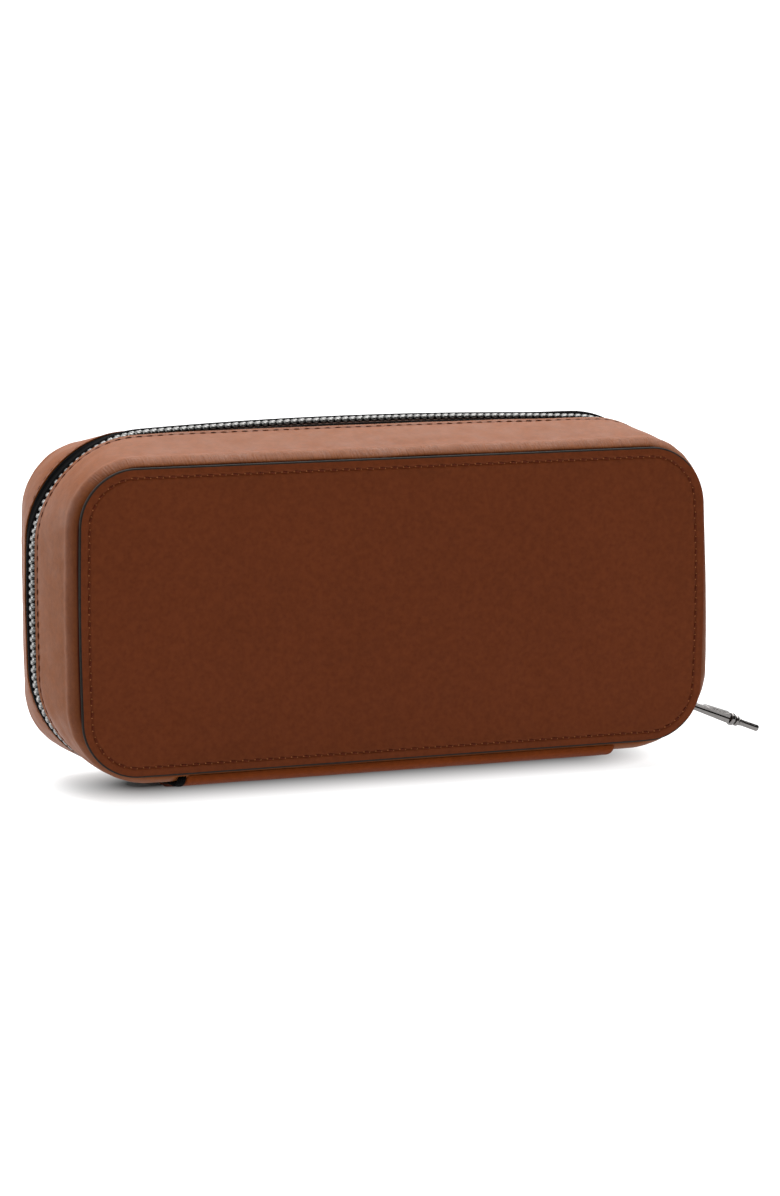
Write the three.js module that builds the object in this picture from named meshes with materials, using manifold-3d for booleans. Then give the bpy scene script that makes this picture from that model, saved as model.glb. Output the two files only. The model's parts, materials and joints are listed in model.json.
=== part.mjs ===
// A zip-around leather jewellery case, standing on its hinge spine.
// Millimetres. +X runs along the case, +Z is up, and the zip lies in the plane y = 0.
// The base half is on the -Y side and the lid half on the +Y side of that plane.
// The origin is on the ground, at the middle of the hinge spine's flat underside.
import * as THREE from "three";
import { mergeVertices } from "three/addons/utils/BufferGeometryUtils.js";
import Module from "manifold-3d";

const wasm = await Module();
wasm.setup();

// ---- Driving dimensions ----

const GAP = 0.3; // clearance between pieces that touch
const CENTRE_Z = 55; // height of the middle of the face panels above the ground

// Outlines are rounded rectangles whose sides bow outwards. The bottom side is straight.
// A higher bow power keeps the top flatter in the middle.
const PANEL = { width: 200, height: 92.9, radius: 16.9, topRadius: 16.9, sideBow: 1.1, topBow: 0 };
const EDGE = { width: 211.4, height: 104.3, radius: 34, topRadius: 30.4, sideBow: 1.9, topBow: 2 };
const EDGE_POWER = 4;
const CHAIN = { ...EDGE, topRadius: 37, topBow: 2.65 }; // the zip's teeth, before they stand proud
const CHAIN_POWER = 2;

const BASE = { name: "base", side: -1, depth: 32.5 };
const LID = { name: "lid", side: 1, depth: 30.1 };

const EDGE_T = 5.2; // distance of the folded leather edges from the zip plane
const ROLL_WIDTH = 2.8; // the rolled band round each face panel
const ROLL_DEPTH = 5;
const BAND_RADIUS = 24; // the band is rounder at the corners than the panel it frames
const PANEL_THICK = 1.3;
const PANEL_EASE = 0.3; // eased arris of the face panels
const LEATHER = 1.2;
const FLANGE = 8; // leather turned in under the face panel
const BOARD = 2;
const LINING = 1;
const RIM_T = 8; // distance of the board rims from the zip plane
const LIP_DEPTH = 1.7; // depth of the lining's fold over the board's rim

const TEETH_T = [0.9, 2.1]; // each row of teeth, measured from the zip plane
const TEETH_PROUD = 1.35;
const TEETH_SUNK = 0.8;
const TAPE_THICK = 0.6;
const TAPE_CREST = 0.1; // inset of the tape beside the teeth
const TAPE_DIP = 0.5; // the tape is under the leather this far before the leather's edge

const SPINE_HALF = 71; // half the length of the hinge spine
const SPINE_FLAT = 7; // half the width of its flat underside
const SPINE_CORNER = 8;
const SPINE_END_Z = 3.95; // height of its underside at the front and rear edges
const SPINE_INSET = 1.5; // its front and rear edges stop this far before the rolled bands
const STRIP_RISE = 0.9; // the inner strip's top, above the walls' bottom line

const SLIDER_ANGLE = THREE.MathUtils.degToRad(-33); // place on the lower right corner
const PULLER_DROP = THREE.MathUtils.degToRad(21.2); // the puller's slope below horizontal

const ROLLS = 5;
const HOOKS = 5;

// ---- Materials ----

function finish(color, roughness, metalness = 0) {
  return new THREE.MeshStandardMaterial({ color, roughness, metalness });
}

const leather = finish(0x6b361f, 0.55);
const panelLeather = finish(0x5a2d18, 0.5);
const board = finish(0x8a7a66, 0.9);
const suede = finish(0xb9a284, 0.95);
const tapeCloth = finish(0x0c0c0e, 0.9);
const nickel = finish(0xc4c4c6, 0.25, 1);
const gunmetal = finish(0x6f6c6a, 0.3, 1);

// ---- Solids ----

function fromManifold(solid) {
  const mesh = solid.getMesh();
  const geometry = new THREE.BufferGeometry();
  geometry.setAttribute("position", new THREE.BufferAttribute(mesh.vertProperties, 3));
  geometry.setIndex(new THREE.BufferAttribute(mesh.triVerts, 1));
  return geometry;
}

function toManifold(geometry) {
  const bare = geometry.clone();
  bare.deleteAttribute("normal");
  bare.deleteAttribute("uv");
  const merged = mergeVertices(bare, 1e-4);
  return new wasm.Manifold(
    new wasm.Mesh({
      numProp: 3,
      vertProperties: new Float32Array(merged.attributes.position.array),
      triVerts: new Uint32Array(merged.index.array),
    }),
  );
}

function join(...geometries) {
  return fromManifold(geometries.map(toManifold).reduce((a, b) => a.add(b)));
}

function cut(geometry, tool) {
  return fromManifold(toManifold(geometry).subtract(toManifold(tool)));
}

function common(a, b) {
  return fromManifold(toManifold(a).intersect(toManifold(b)));
}

// A box between two corners.
function box(low, high) {
  const size = high.map((value, k) => value - low[k]);
  return new THREE.BoxGeometry(...size).translate(
    low[0] + size[0] / 2,
    low[1] + size[1] / 2,
    low[2] + size[2] / 2,
  );
}

// Triangles facing out, whichever way round the grid was walked.
function closedGeometry(positions, triangles) {
  let volume = 0;
  const [a, b, c] = [new THREE.Vector3(), new THREE.Vector3(), new THREE.Vector3()];
  for (const [i, j, k] of triangles) {
    a.fromArray(positions[i]);
    b.fromArray(positions[j]);
    c.fromArray(positions[k]);
    volume += a.dot(b.cross(c));
  }
  const faces = volume < 0 ? triangles.map(([i, j, k]) => [i, k, j]) : triangles;
  const geometry = new THREE.BufferGeometry();
  geometry.setAttribute("position", new THREE.Float32BufferAttribute(positions.flat(), 3));
  geometry.setIndex(faces.flat());
  return geometry;
}

// Quads between neighbouring rings of points. wrap closes the rings, and stack the pile of rings.
function skin(rings, wrap, stack) {
  const count = rings[0].length;
  const triangles = [];
  const lastRing = stack ? rings.length : rings.length - 1;
  const lastPoint = wrap ? count : count - 1;
  for (let r = 0; r < lastRing; r++) {
    for (let p = 0; p < lastPoint; p++) {
      const a = r * count + p;
      const b = r * count + ((p + 1) % count);
      const c = ((r + 1) % rings.length) * count + ((p + 1) % count);
      const d = ((r + 1) % rings.length) * count + p;
      triangles.push([a, b, c], [a, c, d]);
    }
  }
  return triangles;
}

// A ring-shaped wall: its cross-section closes on itself.
function hoop(rings) {
  return closedGeometry(rings.flat(), skin(rings, true, true));
}

// A tray or a slab: the first and last rings are closed by flat caps.
function tray(rings) {
  const count = rings[0].length;
  const positions = rings.flat();
  const triangles = skin(rings, true, false);
  for (const [ring, flip] of [[0, true], [rings.length - 1, false]]) {
    const start = ring * count;
    const centre = positions.length;
    const y = rings[ring][0][1];
    positions.push([0, y, CENTRE_Z]);
    for (let p = 0; p < count; p++) {
      const face = [start + p, start + ((p + 1) % count), centre];
      triangles.push(flip ? face.reverse() : face);
    }
  }
  return closedGeometry(positions, triangles);
}

// A strip that follows the three zipped sides. Its section is a band between two matching edges,
// so each end is closed by a ladder of quads from one edge to the other.
function strip(rings) {
  const count = rings[0].length;
  const last = rings.length - 1;
  const triangles = skin(rings, false, true);
  for (const [station, flip] of [[0, false], [count - 1, true]]) {
    for (let i = 0; i < last - 1 - i; i++) {
      const [a, b, c, d] = [i, i + 1, last - 1 - i, last - i].map((r) => r * count + station);
      for (const face of [[a, b, c], [a, c, d]]) triangles.push(flip ? face.reverse() : face);
    }
  }
  return closedGeometry(rings.flat(), triangles);
}

// ---- Outlines ----

function grow(spec, amount) {
  return {
    ...spec,
    width: spec.width + 2 * amount,
    height: spec.height + 2 * amount,
    radius: spec.radius + amount,
    topRadius: spec.topRadius + amount,
  };
}

function mix(a, b, share) {
  const made = {};
  for (const key of Object.keys(a)) made[key] = a[key] + (b[key] - a[key]) * share;
  return made;
}

const BAND = { ...grow(PANEL, ROLL_WIDTH), radius: BAND_RADIUS, topRadius: BAND_RADIUS };

// The outside of a half's wall at distance t from the zip plane.
function wallAt(half, t) {
  const share = (t - EDGE_T) / (half.depth - ROLL_DEPTH - EDGE_T);
  return mix(EDGE, BAND, THREE.MathUtils.clamp(share, 0, 1));
}

// A bowed point, from a point of the plain rounded rectangle centred on 0, 0.
function bow(spec, x, z, power = EDGE_POWER) {
  const u = Math.abs(x) / (spec.width / 2);
  const v = Math.abs(z) / (spec.height / 2);
  const lift = z > 0 ? spec.topBow * (1 - u ** power) * v * v : 0;
  const push = Math.sign(x) * spec.sideBow * (1 - v * v) * u * u;
  return [x + push, z + lift];
}

const CORNER_STEPS = 7;
const SIDE_STEPS = [4, 8, 4]; // steps along the left, top and right sides

function arcPoint({ centre, radius }, degrees) {
  const angle = THREE.MathUtils.degToRad(degrees);
  return [centre[0] + radius * Math.cos(angle), centre[1] + radius * Math.sin(angle)];
}

// Points from the left end of the spine up, over the top and down to its right end.
// The straight bottom side closes the outline.
function outline(spec, power) {
  const bearings = [-90, 180, 90, 0]; // where each corner's arc starts
  const corners = [[-1, -1], [-1, 1], [1, 1], [1, -1]].map(([sideways, upwards]) => {
    const radius = upwards > 0 ? spec.topRadius : spec.radius;
    const centre = [sideways * (spec.width / 2 - radius), upwards * (spec.height / 2 - radius)];
    return { centre, radius };
  });
  const plain = [];
  corners.forEach((corner, k) => {
    for (let i = 0; i <= CORNER_STEPS; i++) {
      plain.push(arcPoint(corner, bearings[k] - (90 * i) / CORNER_STEPS));
    }
    if (k === SIDE_STEPS.length) return;
    const start = plain[plain.length - 1];
    const end = arcPoint(corners[k + 1], bearings[k + 1]);
    for (let i = 1; i < SIDE_STEPS[k]; i++) {
      const share = i / SIDE_STEPS[k];
      plain.push(start.map((value, axis) => value + (end[axis] - value) * share));
    }
  });
  return plain.map(([x, z]) => bow(spec, x, z, power));
}

// A ring of points at distance t from the zip plane, inset from the given outline.
function ring(half, t, spec, inset, power) {
  return outline(grow(spec, -inset), power).map(([x, z]) => [x, half.side * t, CENTRE_Z + z]);
}

// Rings inside a half's wall, from [t, inset] pairs.
function wallRings(half, pairs) {
  return pairs.map(([t, inset]) => ring(half, t, wallAt(half, t), inset));
}

// The wall's lowest and highest flat line and its side, for pieces fitted inside it.
function innerLimits(half, t, clearance) {
  const wall = wallAt(half, t);
  const inset = LEATHER + GAP + BOARD + GAP + LINING + clearance;
  return {
    low: CENTRE_Z - wall.height / 2 + inset,
    high: CENTRE_Z + wall.height / 2 - inset,
    side: wall.width / 2 + wall.sideBow - inset,
  };
}

// ---- Nodes ----

const object = new THREE.Group();

function add(parent, name, geometry, material) {
  const mesh = new THREE.Mesh(geometry, material);
  mesh.name = name;
  parent.add(mesh);
  return mesh;
}

// ---- One half of the case ----

const BOARD_INSET = LEATHER + GAP;
const LINING_INSET = BOARD_INSET + BOARD + GAP;
const ROLL_STEPS = 3;

// Wall leather, rolled over the board's edge and turned in under the face panel.
function gusset(half) {
  const shoulder = half.depth - ROLL_DEPTH;
  const top = half.depth - PANEL_THICK - GAP;
  const pairs = [[EDGE_T, 0], [(EDGE_T + shoulder) / 2, 0]];
  for (let i = 0; i <= ROLL_STEPS; i++) {
    const angle = (i / ROLL_STEPS) * (Math.PI / 2);
    pairs.push([
      shoulder + (top - shoulder) * Math.sin(angle),
      ROLL_WIDTH * (1 - Math.cos(angle)),
    ]);
  }
  pairs.push([top, ROLL_WIDTH + FLANGE], [top - LEATHER, ROLL_WIDTH + FLANGE]);
  pairs.push([top - LEATHER, ROLL_WIDTH + LEATHER], [shoulder, LEATHER]);
  pairs.push([EDGE_T, LEATHER]);
  return hoop(wallRings(half, pairs));
}

function facePanel(half) {
  const back = half.depth - PANEL_THICK;
  return tray([
    ring(half, back, PANEL, 0),
    ring(half, half.depth - PANEL_EASE, PANEL, 0),
    ring(half, half.depth, PANEL, PANEL_EASE),
  ]);
}

function boardTray(half) {
  const outside = half.depth - PANEL_THICK - GAP - LEATHER - GAP;
  return tray(
    wallRings(half, [
      [outside, BOARD_INSET + ROLL_WIDTH],
      [half.depth - ROLL_DEPTH - GAP, BOARD_INSET],
      [RIM_T, BOARD_INSET],
      [RIM_T, BOARD_INSET + BOARD],
      [outside - BOARD, BOARD_INSET + BOARD],
    ]),
  );
}

function floorT(half) {
  return half.depth - PANEL_THICK - GAP - LEATHER - GAP - BOARD - GAP - LINING;
}

// The lining is folded over the board's rim.
function liningTray(half) {
  const lip = RIM_T - GAP;
  const lipInset = BOARD_INSET + LEATHER;
  return tray(
    wallRings(half, [
      [floorT(half) + LINING, LINING_INSET],
      [lip, LINING_INSET],
      [lip, lipInset],
      [lip - LIP_DEPTH, lipInset],
      [lip - LIP_DEPTH, LINING_INSET + LINING],
      [floorT(half), LINING_INSET + LINING],
    ]),
  );
}

function zipTape(half) {
  const crestT = TEETH_T[1] + GAP;
  const dipT = EDGE_T - TAPE_DIP;
  const endT = RIM_T - GAP;
  const endInset = BOARD_INSET + TAPE_CREST;
  return strip(
    wallRings(half, [
      [crestT, TAPE_CREST],
      [dipT, BOARD_INSET],
      [endT, endInset],
      [endT, endInset + TAPE_THICK],
      [dipT, BOARD_INSET + TAPE_THICK],
      [crestT, TAPE_CREST + TAPE_THICK],
    ]),
  );
}

function zipTeeth(half) {
  const [near, far] = TEETH_T;
  const slope = 0.7; // the row's outer face falls to this share of its height
  const section = [
    [near, -TEETH_PROUD],
    [far, -TEETH_PROUD * slope],
    [far, TEETH_SUNK],
    [near, TEETH_SUNK],
  ];
  return strip(section.map(([t, inset]) => ring(half, t, CHAIN, inset, CHAIN_POWER)));
}

for (const half of [BASE, LID]) {
  add(object, half.name + "_gusset", gusset(half), leather);
  add(object, half.name + "_face_panel", facePanel(half), panelLeather);
  add(object, half.name + "_board", boardTray(half), board);
  add(object, half.name + "_lining", liningTray(half), suede);
  add(object, half.name + "_zip_tape", zipTape(half), tapeCloth);
  add(object, half.name + "_zip_teeth", zipTeeth(half), nickel);
}

// ---- Hinge spine ----

// Extrudes an outline drawn in Y and Z along X.
function alongX(points, fromX, toX) {
  const shape = new THREE.Shape(points.map(([y, z]) => new THREE.Vector2(y, z)));
  const solid = new THREE.ExtrudeGeometry(shape, { depth: toX - fromX, bevelEnabled: false });
  const turn = new THREE.Matrix4().makeBasis(
    new THREE.Vector3(0, 1, 0),
    new THREE.Vector3(0, 0, 1),
    new THREE.Vector3(1, 0, 0),
  );
  return solid.applyMatrix4(turn).translate(fromX, 0, 0);
}

function roundedRectangle(halfX, lowY, highY, radius) {
  const shape = new THREE.Shape();
  shape.absarc(halfX - radius, highY - radius, radius, 0, Math.PI / 2);
  shape.absarc(-halfX + radius, highY - radius, radius, Math.PI / 2, Math.PI);
  shape.absarc(-halfX + radius, lowY + radius, radius, Math.PI, 1.5 * Math.PI);
  shape.absarc(halfX - radius, lowY + radius, radius, 1.5 * Math.PI, 2 * Math.PI);
  return shape;
}

// Height of the wall's straight bottom line at distance t from the zip plane.
function bottomZ(half, t) {
  return CENTRE_Z - wallAt(half, t).height / 2;
}

function hingeSpine() {
  const front = BASE.depth - ROLL_DEPTH - SPINE_INSET;
  const rear = LID.depth - ROLL_DEPTH - SPINE_INSET;
  const flatTop = bottomZ(BASE, EDGE_T) - GAP;
  const section = alongX(
    [
      [-front, SPINE_END_Z],
      [-SPINE_FLAT, 0],
      [SPINE_FLAT, 0],
      [rear, SPINE_END_Z],
      [rear, bottomZ(LID, rear) - GAP],
      [EDGE_T, flatTop],
      [-EDGE_T, flatTop],
      [-front, bottomZ(BASE, front) - GAP],
    ],
    -SPINE_HALF,
    SPINE_HALF,
  );
  const plan = new THREE.ExtrudeGeometry(
    roundedRectangle(SPINE_HALF, -front, rear, SPINE_CORNER),
    { depth: 4 * SPINE_END_Z, bevelEnabled: false, curveSegments: 4 },
  ).translate(0, 0, -SPINE_END_Z);
  return common(section, plan);
}

add(object, "hinge_spine", hingeSpine(), leather);

const stripTop = bottomZ(BASE, EDGE_T) + STRIP_RISE;
add(
  object,
  "hinge_inner_strip",
  box(
    [-SPINE_HALF + 1, -EDGE_T + GAP, stripTop - TAPE_THICK],
    [SPINE_HALF - 1, EDGE_T - GAP, stripTop],
  ),
  suede,
);

// The folded tails of the zip tapes show at the left end of the spine.
const TAIL = { length: 5, reach: 9, low: 0.2 };
const tailEnd = -SPINE_HALF - GAP;
const tailTop = bottomZ(BASE, EDGE_T) - TEETH_PROUD - GAP;

function tapeTail(half) {
  const [lowY, highY] = [half.side * GAP, half.side * TAIL.reach].sort((a, b) => a - b);
  return box([tailEnd - TAIL.length, lowY, TAIL.low], [tailEnd, highY, tailTop]);
}

for (const half of [BASE, LID]) {
  add(object, half.name + "_tape_tail", tapeTail(half), tapeCloth);
}

// ---- Zip slider and puller ----

const TRAVEL_PROBES = [-45, -22, 0]; // degrees on the lower right corner

// The zip's crest on the lower right corner, at an angle about the corner's own centre.
function crestPoint(angle, proud) {
  const spec = grow(EDGE, proud);
  const x = spec.width / 2 - spec.radius + spec.radius * Math.cos(angle);
  const z = -spec.height / 2 + spec.radius + spec.radius * Math.sin(angle);
  const [bx, bz] = bow(spec, x, z);
  return new THREE.Vector2(bx, bz + CENTRE_Z);
}

// The circle through three points of the crest is the slider's path.
function circleThrough(a, b, c) {
  const d = 2 * (a.x * (b.y - c.y) + b.x * (c.y - a.y) + c.x * (a.y - b.y));
  const [aa, bb, cc] = [a.lengthSq(), b.lengthSq(), c.lengthSq()];
  const centre = new THREE.Vector2(
    (aa * (b.y - c.y) + bb * (c.y - a.y) + cc * (a.y - b.y)) / d,
    (aa * (c.x - b.x) + bb * (a.x - c.x) + cc * (b.x - a.x)) / d,
  );
  return { centre, radius: centre.distanceTo(a) };
}

const path = circleThrough(
  ...TRAVEL_PROBES.map((deg) => crestPoint(THREE.MathUtils.degToRad(deg), TEETH_PROUD)),
);
const sliderPoint = crestPoint(SLIDER_ANGLE, TEETH_PROUD);
const sliderBearing = Math.atan2(
  sliderPoint.y - path.centre.y,
  sliderPoint.x - path.centre.x,
);

const SLIDER_LENGTH = 9;
const SLIDER_PLATE = 1.1;
const SLIDER_CLEAR = 0.6;
const OUTER_HALF_WIDTH = 4.3;
const INNER_HALF_WIDTH = 2.8;
const POST_HALF_WIDTH = 0.5;
const POST_LENGTH = 3;
const POST_SETBACK = 2; // its middle, from the slider's closed end
const BAIL_WIDTH = 1.6;
const BAIL_LENGTH = 6.6;
const BAIL_HOLE = 2.1; // height of the bail's opening above the outer plate
const BAIL_THICK = 1;
const WELD = 0.2; // depth that joined lumps share

// Extrudes an outline drawn in X and Z across Y, centred on the zip plane.
function acrossY(shape, halfWidth, curveSegments = 6) {
  const solid = new THREE.ExtrudeGeometry(shape, {
    depth: 2 * halfWidth,
    bevelEnabled: false,
    curveSegments,
  });
  return solid.rotateX(Math.PI / 2).translate(0, halfWidth, 0);
}

// A curved plate about the slider's path: radii are measured from the crest.
function arcPlate(low, high, length, halfWidth) {
  const half = length / 2 / path.radius;
  const shape = new THREE.Shape();
  shape.absarc(0, 0, path.radius + high, -half, half, false);
  shape.absarc(0, 0, path.radius + low, half, -half, true);
  return acrossY(shape, halfWidth, 5);
}

// Built at bearing zero, then turned to the slider's place on its path.
function placeOnPath(geometry) {
  return geometry
    .rotateY(-sliderBearing)
    .translate(path.centre.x, 0, path.centre.y);
}

const plateLow = SLIDER_CLEAR;
const plateHigh = plateLow + SLIDER_PLATE;
const innerHigh = -TEETH_PROUD - TEETH_SUNK - SLIDER_CLEAR;

function sliderBody() {
  const outer = arcPlate(plateLow, plateHigh, SLIDER_LENGTH, OUTER_HALF_WIDTH);
  const inner = arcPlate(innerHigh - SLIDER_PLATE, innerHigh, SLIDER_LENGTH, INNER_HALF_WIDTH);
  const post = arcPlate(innerHigh - WELD, plateLow + WELD, POST_LENGTH, POST_HALF_WIDTH);
  const moved = post.rotateY((SLIDER_LENGTH / 2 - POST_SETBACK) / path.radius);
  return placeOnPath(join(outer, inner, moved));
}

// The arch that holds the puller, standing on the slider's outer plate.
function sliderBail() {
  const holeTop = plateHigh + BAIL_HOLE;
  const arch = arcPlate(plateHigh - WELD, holeTop + BAIL_THICK, BAIL_LENGTH, BAIL_WIDTH / 2);
  const hole = arcPlate(plateHigh, holeTop, BAIL_LENGTH - 2 * BAIL_THICK, BAIL_WIDTH);
  return placeOnPath(cut(arch, hole));
}

add(object, "slider_body", join(sliderBody(), sliderBail()), gunmetal);

// The puller is drawn along U from its pivot in the bail, with W across its thickness.
const pivotRise = plateHigh + BAIL_HOLE / 2;
const PIN = 1.1;
const LINK_END = 5.6;
const BAR = { from: 5.9, to: 23.3, near: 2.1, far: 3.4, width: 3.2 };
const GROOVE = { high: 0.5, deep: 0.4, stop: 2 }; // stop is its distance from the bar's far end
const COLLARS = [
  { from: 23.6, to: 25, radius: 2.1 },
  { from: 25.6, to: 26.8, radius: 1.75 },
];
const COLLAR_EASE = 0.3;
const NECK = { radius: 1.2, to: 28.2 };
const TIP = { near: 1.05, far: 1.12, end: 34.6, ease: 0.3 };

const pivot = new THREE.Vector2(
  path.centre.x + (path.radius + pivotRise) * Math.cos(sliderBearing),
  path.centre.y + (path.radius + pivotRise) * Math.sin(sliderBearing),
);

function placePuller(geometry) {
  return geometry.rotateY(PULLER_DROP).translate(pivot.x, 0, pivot.y);
}

// The loop round the bail, lying in the plane of U and Y.
function pullerLink() {
  const halfWidth = BAIL_WIDTH / 2 + GAP + PIN;
  const loop = box([-PIN / 2, -halfWidth, -PIN / 2], [LINK_END, halfWidth, PIN / 2]);
  const eye = box(
    [PIN / 2, -halfWidth + PIN, -PIN],
    [LINK_END - PIN, halfWidth - PIN, PIN],
  );
  return placePuller(cut(loop, eye));
}

// Tapers in thickness towards the case, with a long groove down its front.
function pullerBar() {
  const shape = new THREE.Shape([
    new THREE.Vector2(BAR.from, -BAR.near / 2),
    new THREE.Vector2(BAR.to, -BAR.far / 2),
    new THREE.Vector2(BAR.to, BAR.far / 2),
    new THREE.Vector2(BAR.from, BAR.near / 2),
  ]);
  const half = BAR.width / 2;
  const body = acrossY(shape, half);
  const groove = box(
    [BAR.from - 1, -half - 1, -GROOVE.high / 2],
    [BAR.to - GROOVE.stop, -half + GROOVE.deep, GROOVE.high / 2],
  );
  return placePuller(cut(body, groove));
}

// A turned piece on the puller's axis, from [u, radius] pairs.
function turned(profile, segments = 16) {
  const [first] = profile;
  const last = profile[profile.length - 1];
  const points = [[first[0], 0], ...profile, [last[0], 0]];
  const lathe = new THREE.LatheGeometry(
    points.map(([u, r]) => new THREE.Vector2(r, u)),
    segments,
  );
  return lathe.rotateZ(-Math.PI / 2);
}

add(object, "puller_link", pullerLink(), gunmetal);
add(object, "puller_bar", pullerBar(), gunmetal);
COLLARS.forEach((collar, k) => {
  const profile = [
    [collar.from, collar.radius - COLLAR_EASE],
    [collar.from + COLLAR_EASE, collar.radius],
    [collar.to - COLLAR_EASE, collar.radius],
    [collar.to, collar.radius - COLLAR_EASE],
  ];
  add(object, `puller_collar_${k + 1}`, placePuller(turned(profile)), gunmetal);
});
add(
  object,
  "puller_tip",
  placePuller(
    turned([
      [COLLARS[1].to + GAP, NECK.radius],
      [NECK.to, TIP.near],
      [TIP.end - TIP.ease, TIP.far],
      [TIP.end, TIP.far - TIP.ease],
    ]),
  ),
  gunmetal,
);

// ---- Ring rolls and dividers in the base ----

const baseFloor = floorT(BASE) - GAP;
const ROLL = { from: -86, to: -31, pitch: 16.8, high: 16.2, deep: 16, middle: CENTRE_Z + 0.5 };
const ROLL_END = { length: 3, share: 0.7 }; // each end narrows to this share of the roll

// A padded roll, an ellipse in section, with rounded ends.
function ringRoll(centreZ) {
  const profile = [
    [ROLL.from, ROLL_END.share],
    [ROLL.from + ROLL_END.length, 1],
    [ROLL.to - ROLL_END.length, 1],
    [ROLL.to, ROLL_END.share],
  ];
  return turned(profile, 18)
    .scale(1, ROLL.deep / 2, ROLL.high / 2)
    .translate(0, -(baseFloor - ROLL.deep / 2), centreZ);
}

for (let i = 0; i < ROLLS; i++) {
  const z = ROLL.middle + (i - (ROLLS - 1) / 2) * ROLL.pitch;
  add(object, `ring_roll_${i + 1}`, ringRoll(z), suede);
}

const DIVIDER = 2;
const DIVIDER_TOP = 9; // distance of the dividers' top edges from the zip plane
const LONG_X = -28;
const SHORT_X = 40;

// A divider up from the lining's bottom wall, to its top wall unless a height is given.
function crossWall(fromX, highZ) {
  const outer = innerLimits(BASE, baseFloor, GAP);
  const inner = innerLimits(BASE, DIVIDER_TOP, GAP);
  return alongX(
    [
      [-baseFloor, outer.low],
      [-DIVIDER_TOP, inner.low],
      [-DIVIDER_TOP, highZ ?? inner.high],
      [-baseFloor, highZ ?? outer.high],
    ],
    fromX,
    fromX + DIVIDER,
  );
}

// The divider along the case, from the long divider to the lining's right wall.
function lengthWall() {
  const outer = innerLimits(BASE, baseFloor, GAP);
  const inner = innerLimits(BASE, DIVIDER_TOP, GAP);
  const start = LONG_X + DIVIDER + GAP;
  const shape = new THREE.Shape([
    new THREE.Vector2(start, -baseFloor),
    new THREE.Vector2(outer.side, -baseFloor),
    new THREE.Vector2(inner.side, -DIVIDER_TOP),
    new THREE.Vector2(start, -DIVIDER_TOP),
  ]);
  return new THREE.ExtrudeGeometry(shape, { depth: DIVIDER, bevelEnabled: false }).translate(
    0,
    0,
    CENTRE_Z - DIVIDER / 2,
  );
}

add(object, "divider_long", crossWall(LONG_X), suede);
add(object, "divider_cross", lengthWall(), suede);
add(object, "divider_short", crossWall(SHORT_X, CENTRE_Z - DIVIDER / 2 - GAP), suede);

// ---- Necklace hooks and pocket in the lid ----

const lidFloor = floorT(LID) - GAP;
const TAB = { halfLength: 60, low: 84, high: 97, thick: 1.6 };
const tabFace = lidFloor - TAB.thick;

add(
  object,
  "necklace_tab",
  box([-TAB.halfLength, tabFace, TAB.low], [TAB.halfLength, lidFloor, TAB.high]),
  leather,
);

const HOOK = { pitch: 24, reach: 9, rise: 7, foot: 2, wire: 1.4, width: 2.4 };

// A flat J-shaped hook that stands out from the tab and turns up.
function necklaceHook(x) {
  const low = (TAB.low + TAB.high) / 2 - HOOK.rise / 2;
  const root = tabFace - GAP;
  const tip = root - HOOK.reach;
  const points = [
    [root, low - HOOK.foot],
    [root, low + HOOK.rise],
    [root - HOOK.wire, low + HOOK.rise],
    [root - HOOK.wire, low + HOOK.wire],
    [tip + HOOK.wire, low + HOOK.wire],
    [tip + HOOK.wire, low + HOOK.rise],
    [tip, low + HOOK.rise],
    [tip, low],
    [root - HOOK.wire, low],
    [root - HOOK.wire, low - HOOK.foot],
  ];
  return alongX(points, x - HOOK.width / 2, x + HOOK.width / 2);
}

for (let i = 0; i < HOOKS; i++) {
  const x = (i - (HOOKS - 1) / 2) * HOOK.pitch;
  add(object, `necklace_hook_${i + 1}`, necklaceHook(x), nickel);
}

const POCKET = { halfLength: 78, low: 13, high: 48, front: 13.5, sheet: 1.2 };

// A pocket sewn to the lid's floor along its sides and bottom, and open at the top.
function lidPocket() {
  const { halfLength, low, high, front, sheet } = POCKET;
  const bag = box([-halfLength, front, low], [halfLength, lidFloor, high]);
  const inside = box(
    [-halfLength + sheet, front + sheet, low + sheet],
    [halfLength - sheet, lidFloor + 1, high + 1],
  );
  return cut(bag, inside);
}

add(object, "lid_pocket", lidPocket(), suede);

export default object;
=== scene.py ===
"""A zip-around leather jewellery case, standing on its hinge spine."""

import json
import math
from collections import namedtuple

import bmesh
import bpy
import numpy as np
from mathutils import Matrix, Vector


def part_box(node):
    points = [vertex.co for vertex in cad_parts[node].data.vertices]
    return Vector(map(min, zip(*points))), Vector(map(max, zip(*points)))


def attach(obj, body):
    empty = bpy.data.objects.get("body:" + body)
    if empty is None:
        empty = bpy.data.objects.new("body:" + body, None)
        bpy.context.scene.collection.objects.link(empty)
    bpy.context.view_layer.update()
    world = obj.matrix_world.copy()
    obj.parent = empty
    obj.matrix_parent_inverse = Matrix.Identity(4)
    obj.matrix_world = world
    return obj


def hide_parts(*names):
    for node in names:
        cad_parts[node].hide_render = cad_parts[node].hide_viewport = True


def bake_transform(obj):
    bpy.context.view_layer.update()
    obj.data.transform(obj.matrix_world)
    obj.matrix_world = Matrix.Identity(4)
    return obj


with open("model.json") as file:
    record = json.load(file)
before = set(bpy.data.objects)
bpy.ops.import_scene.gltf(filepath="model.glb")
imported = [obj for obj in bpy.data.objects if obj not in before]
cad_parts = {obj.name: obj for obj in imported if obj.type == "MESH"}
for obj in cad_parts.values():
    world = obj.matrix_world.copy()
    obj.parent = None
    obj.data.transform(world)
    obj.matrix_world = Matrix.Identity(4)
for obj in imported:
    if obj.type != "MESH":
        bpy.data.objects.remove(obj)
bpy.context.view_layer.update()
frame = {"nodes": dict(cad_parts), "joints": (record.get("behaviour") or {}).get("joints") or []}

# ---- Driving sizes, in millimetres, in the CAD frame ----

MM = 0.001
CENTRE_Z = 55.0  # middle of the face panels above the ground

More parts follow.
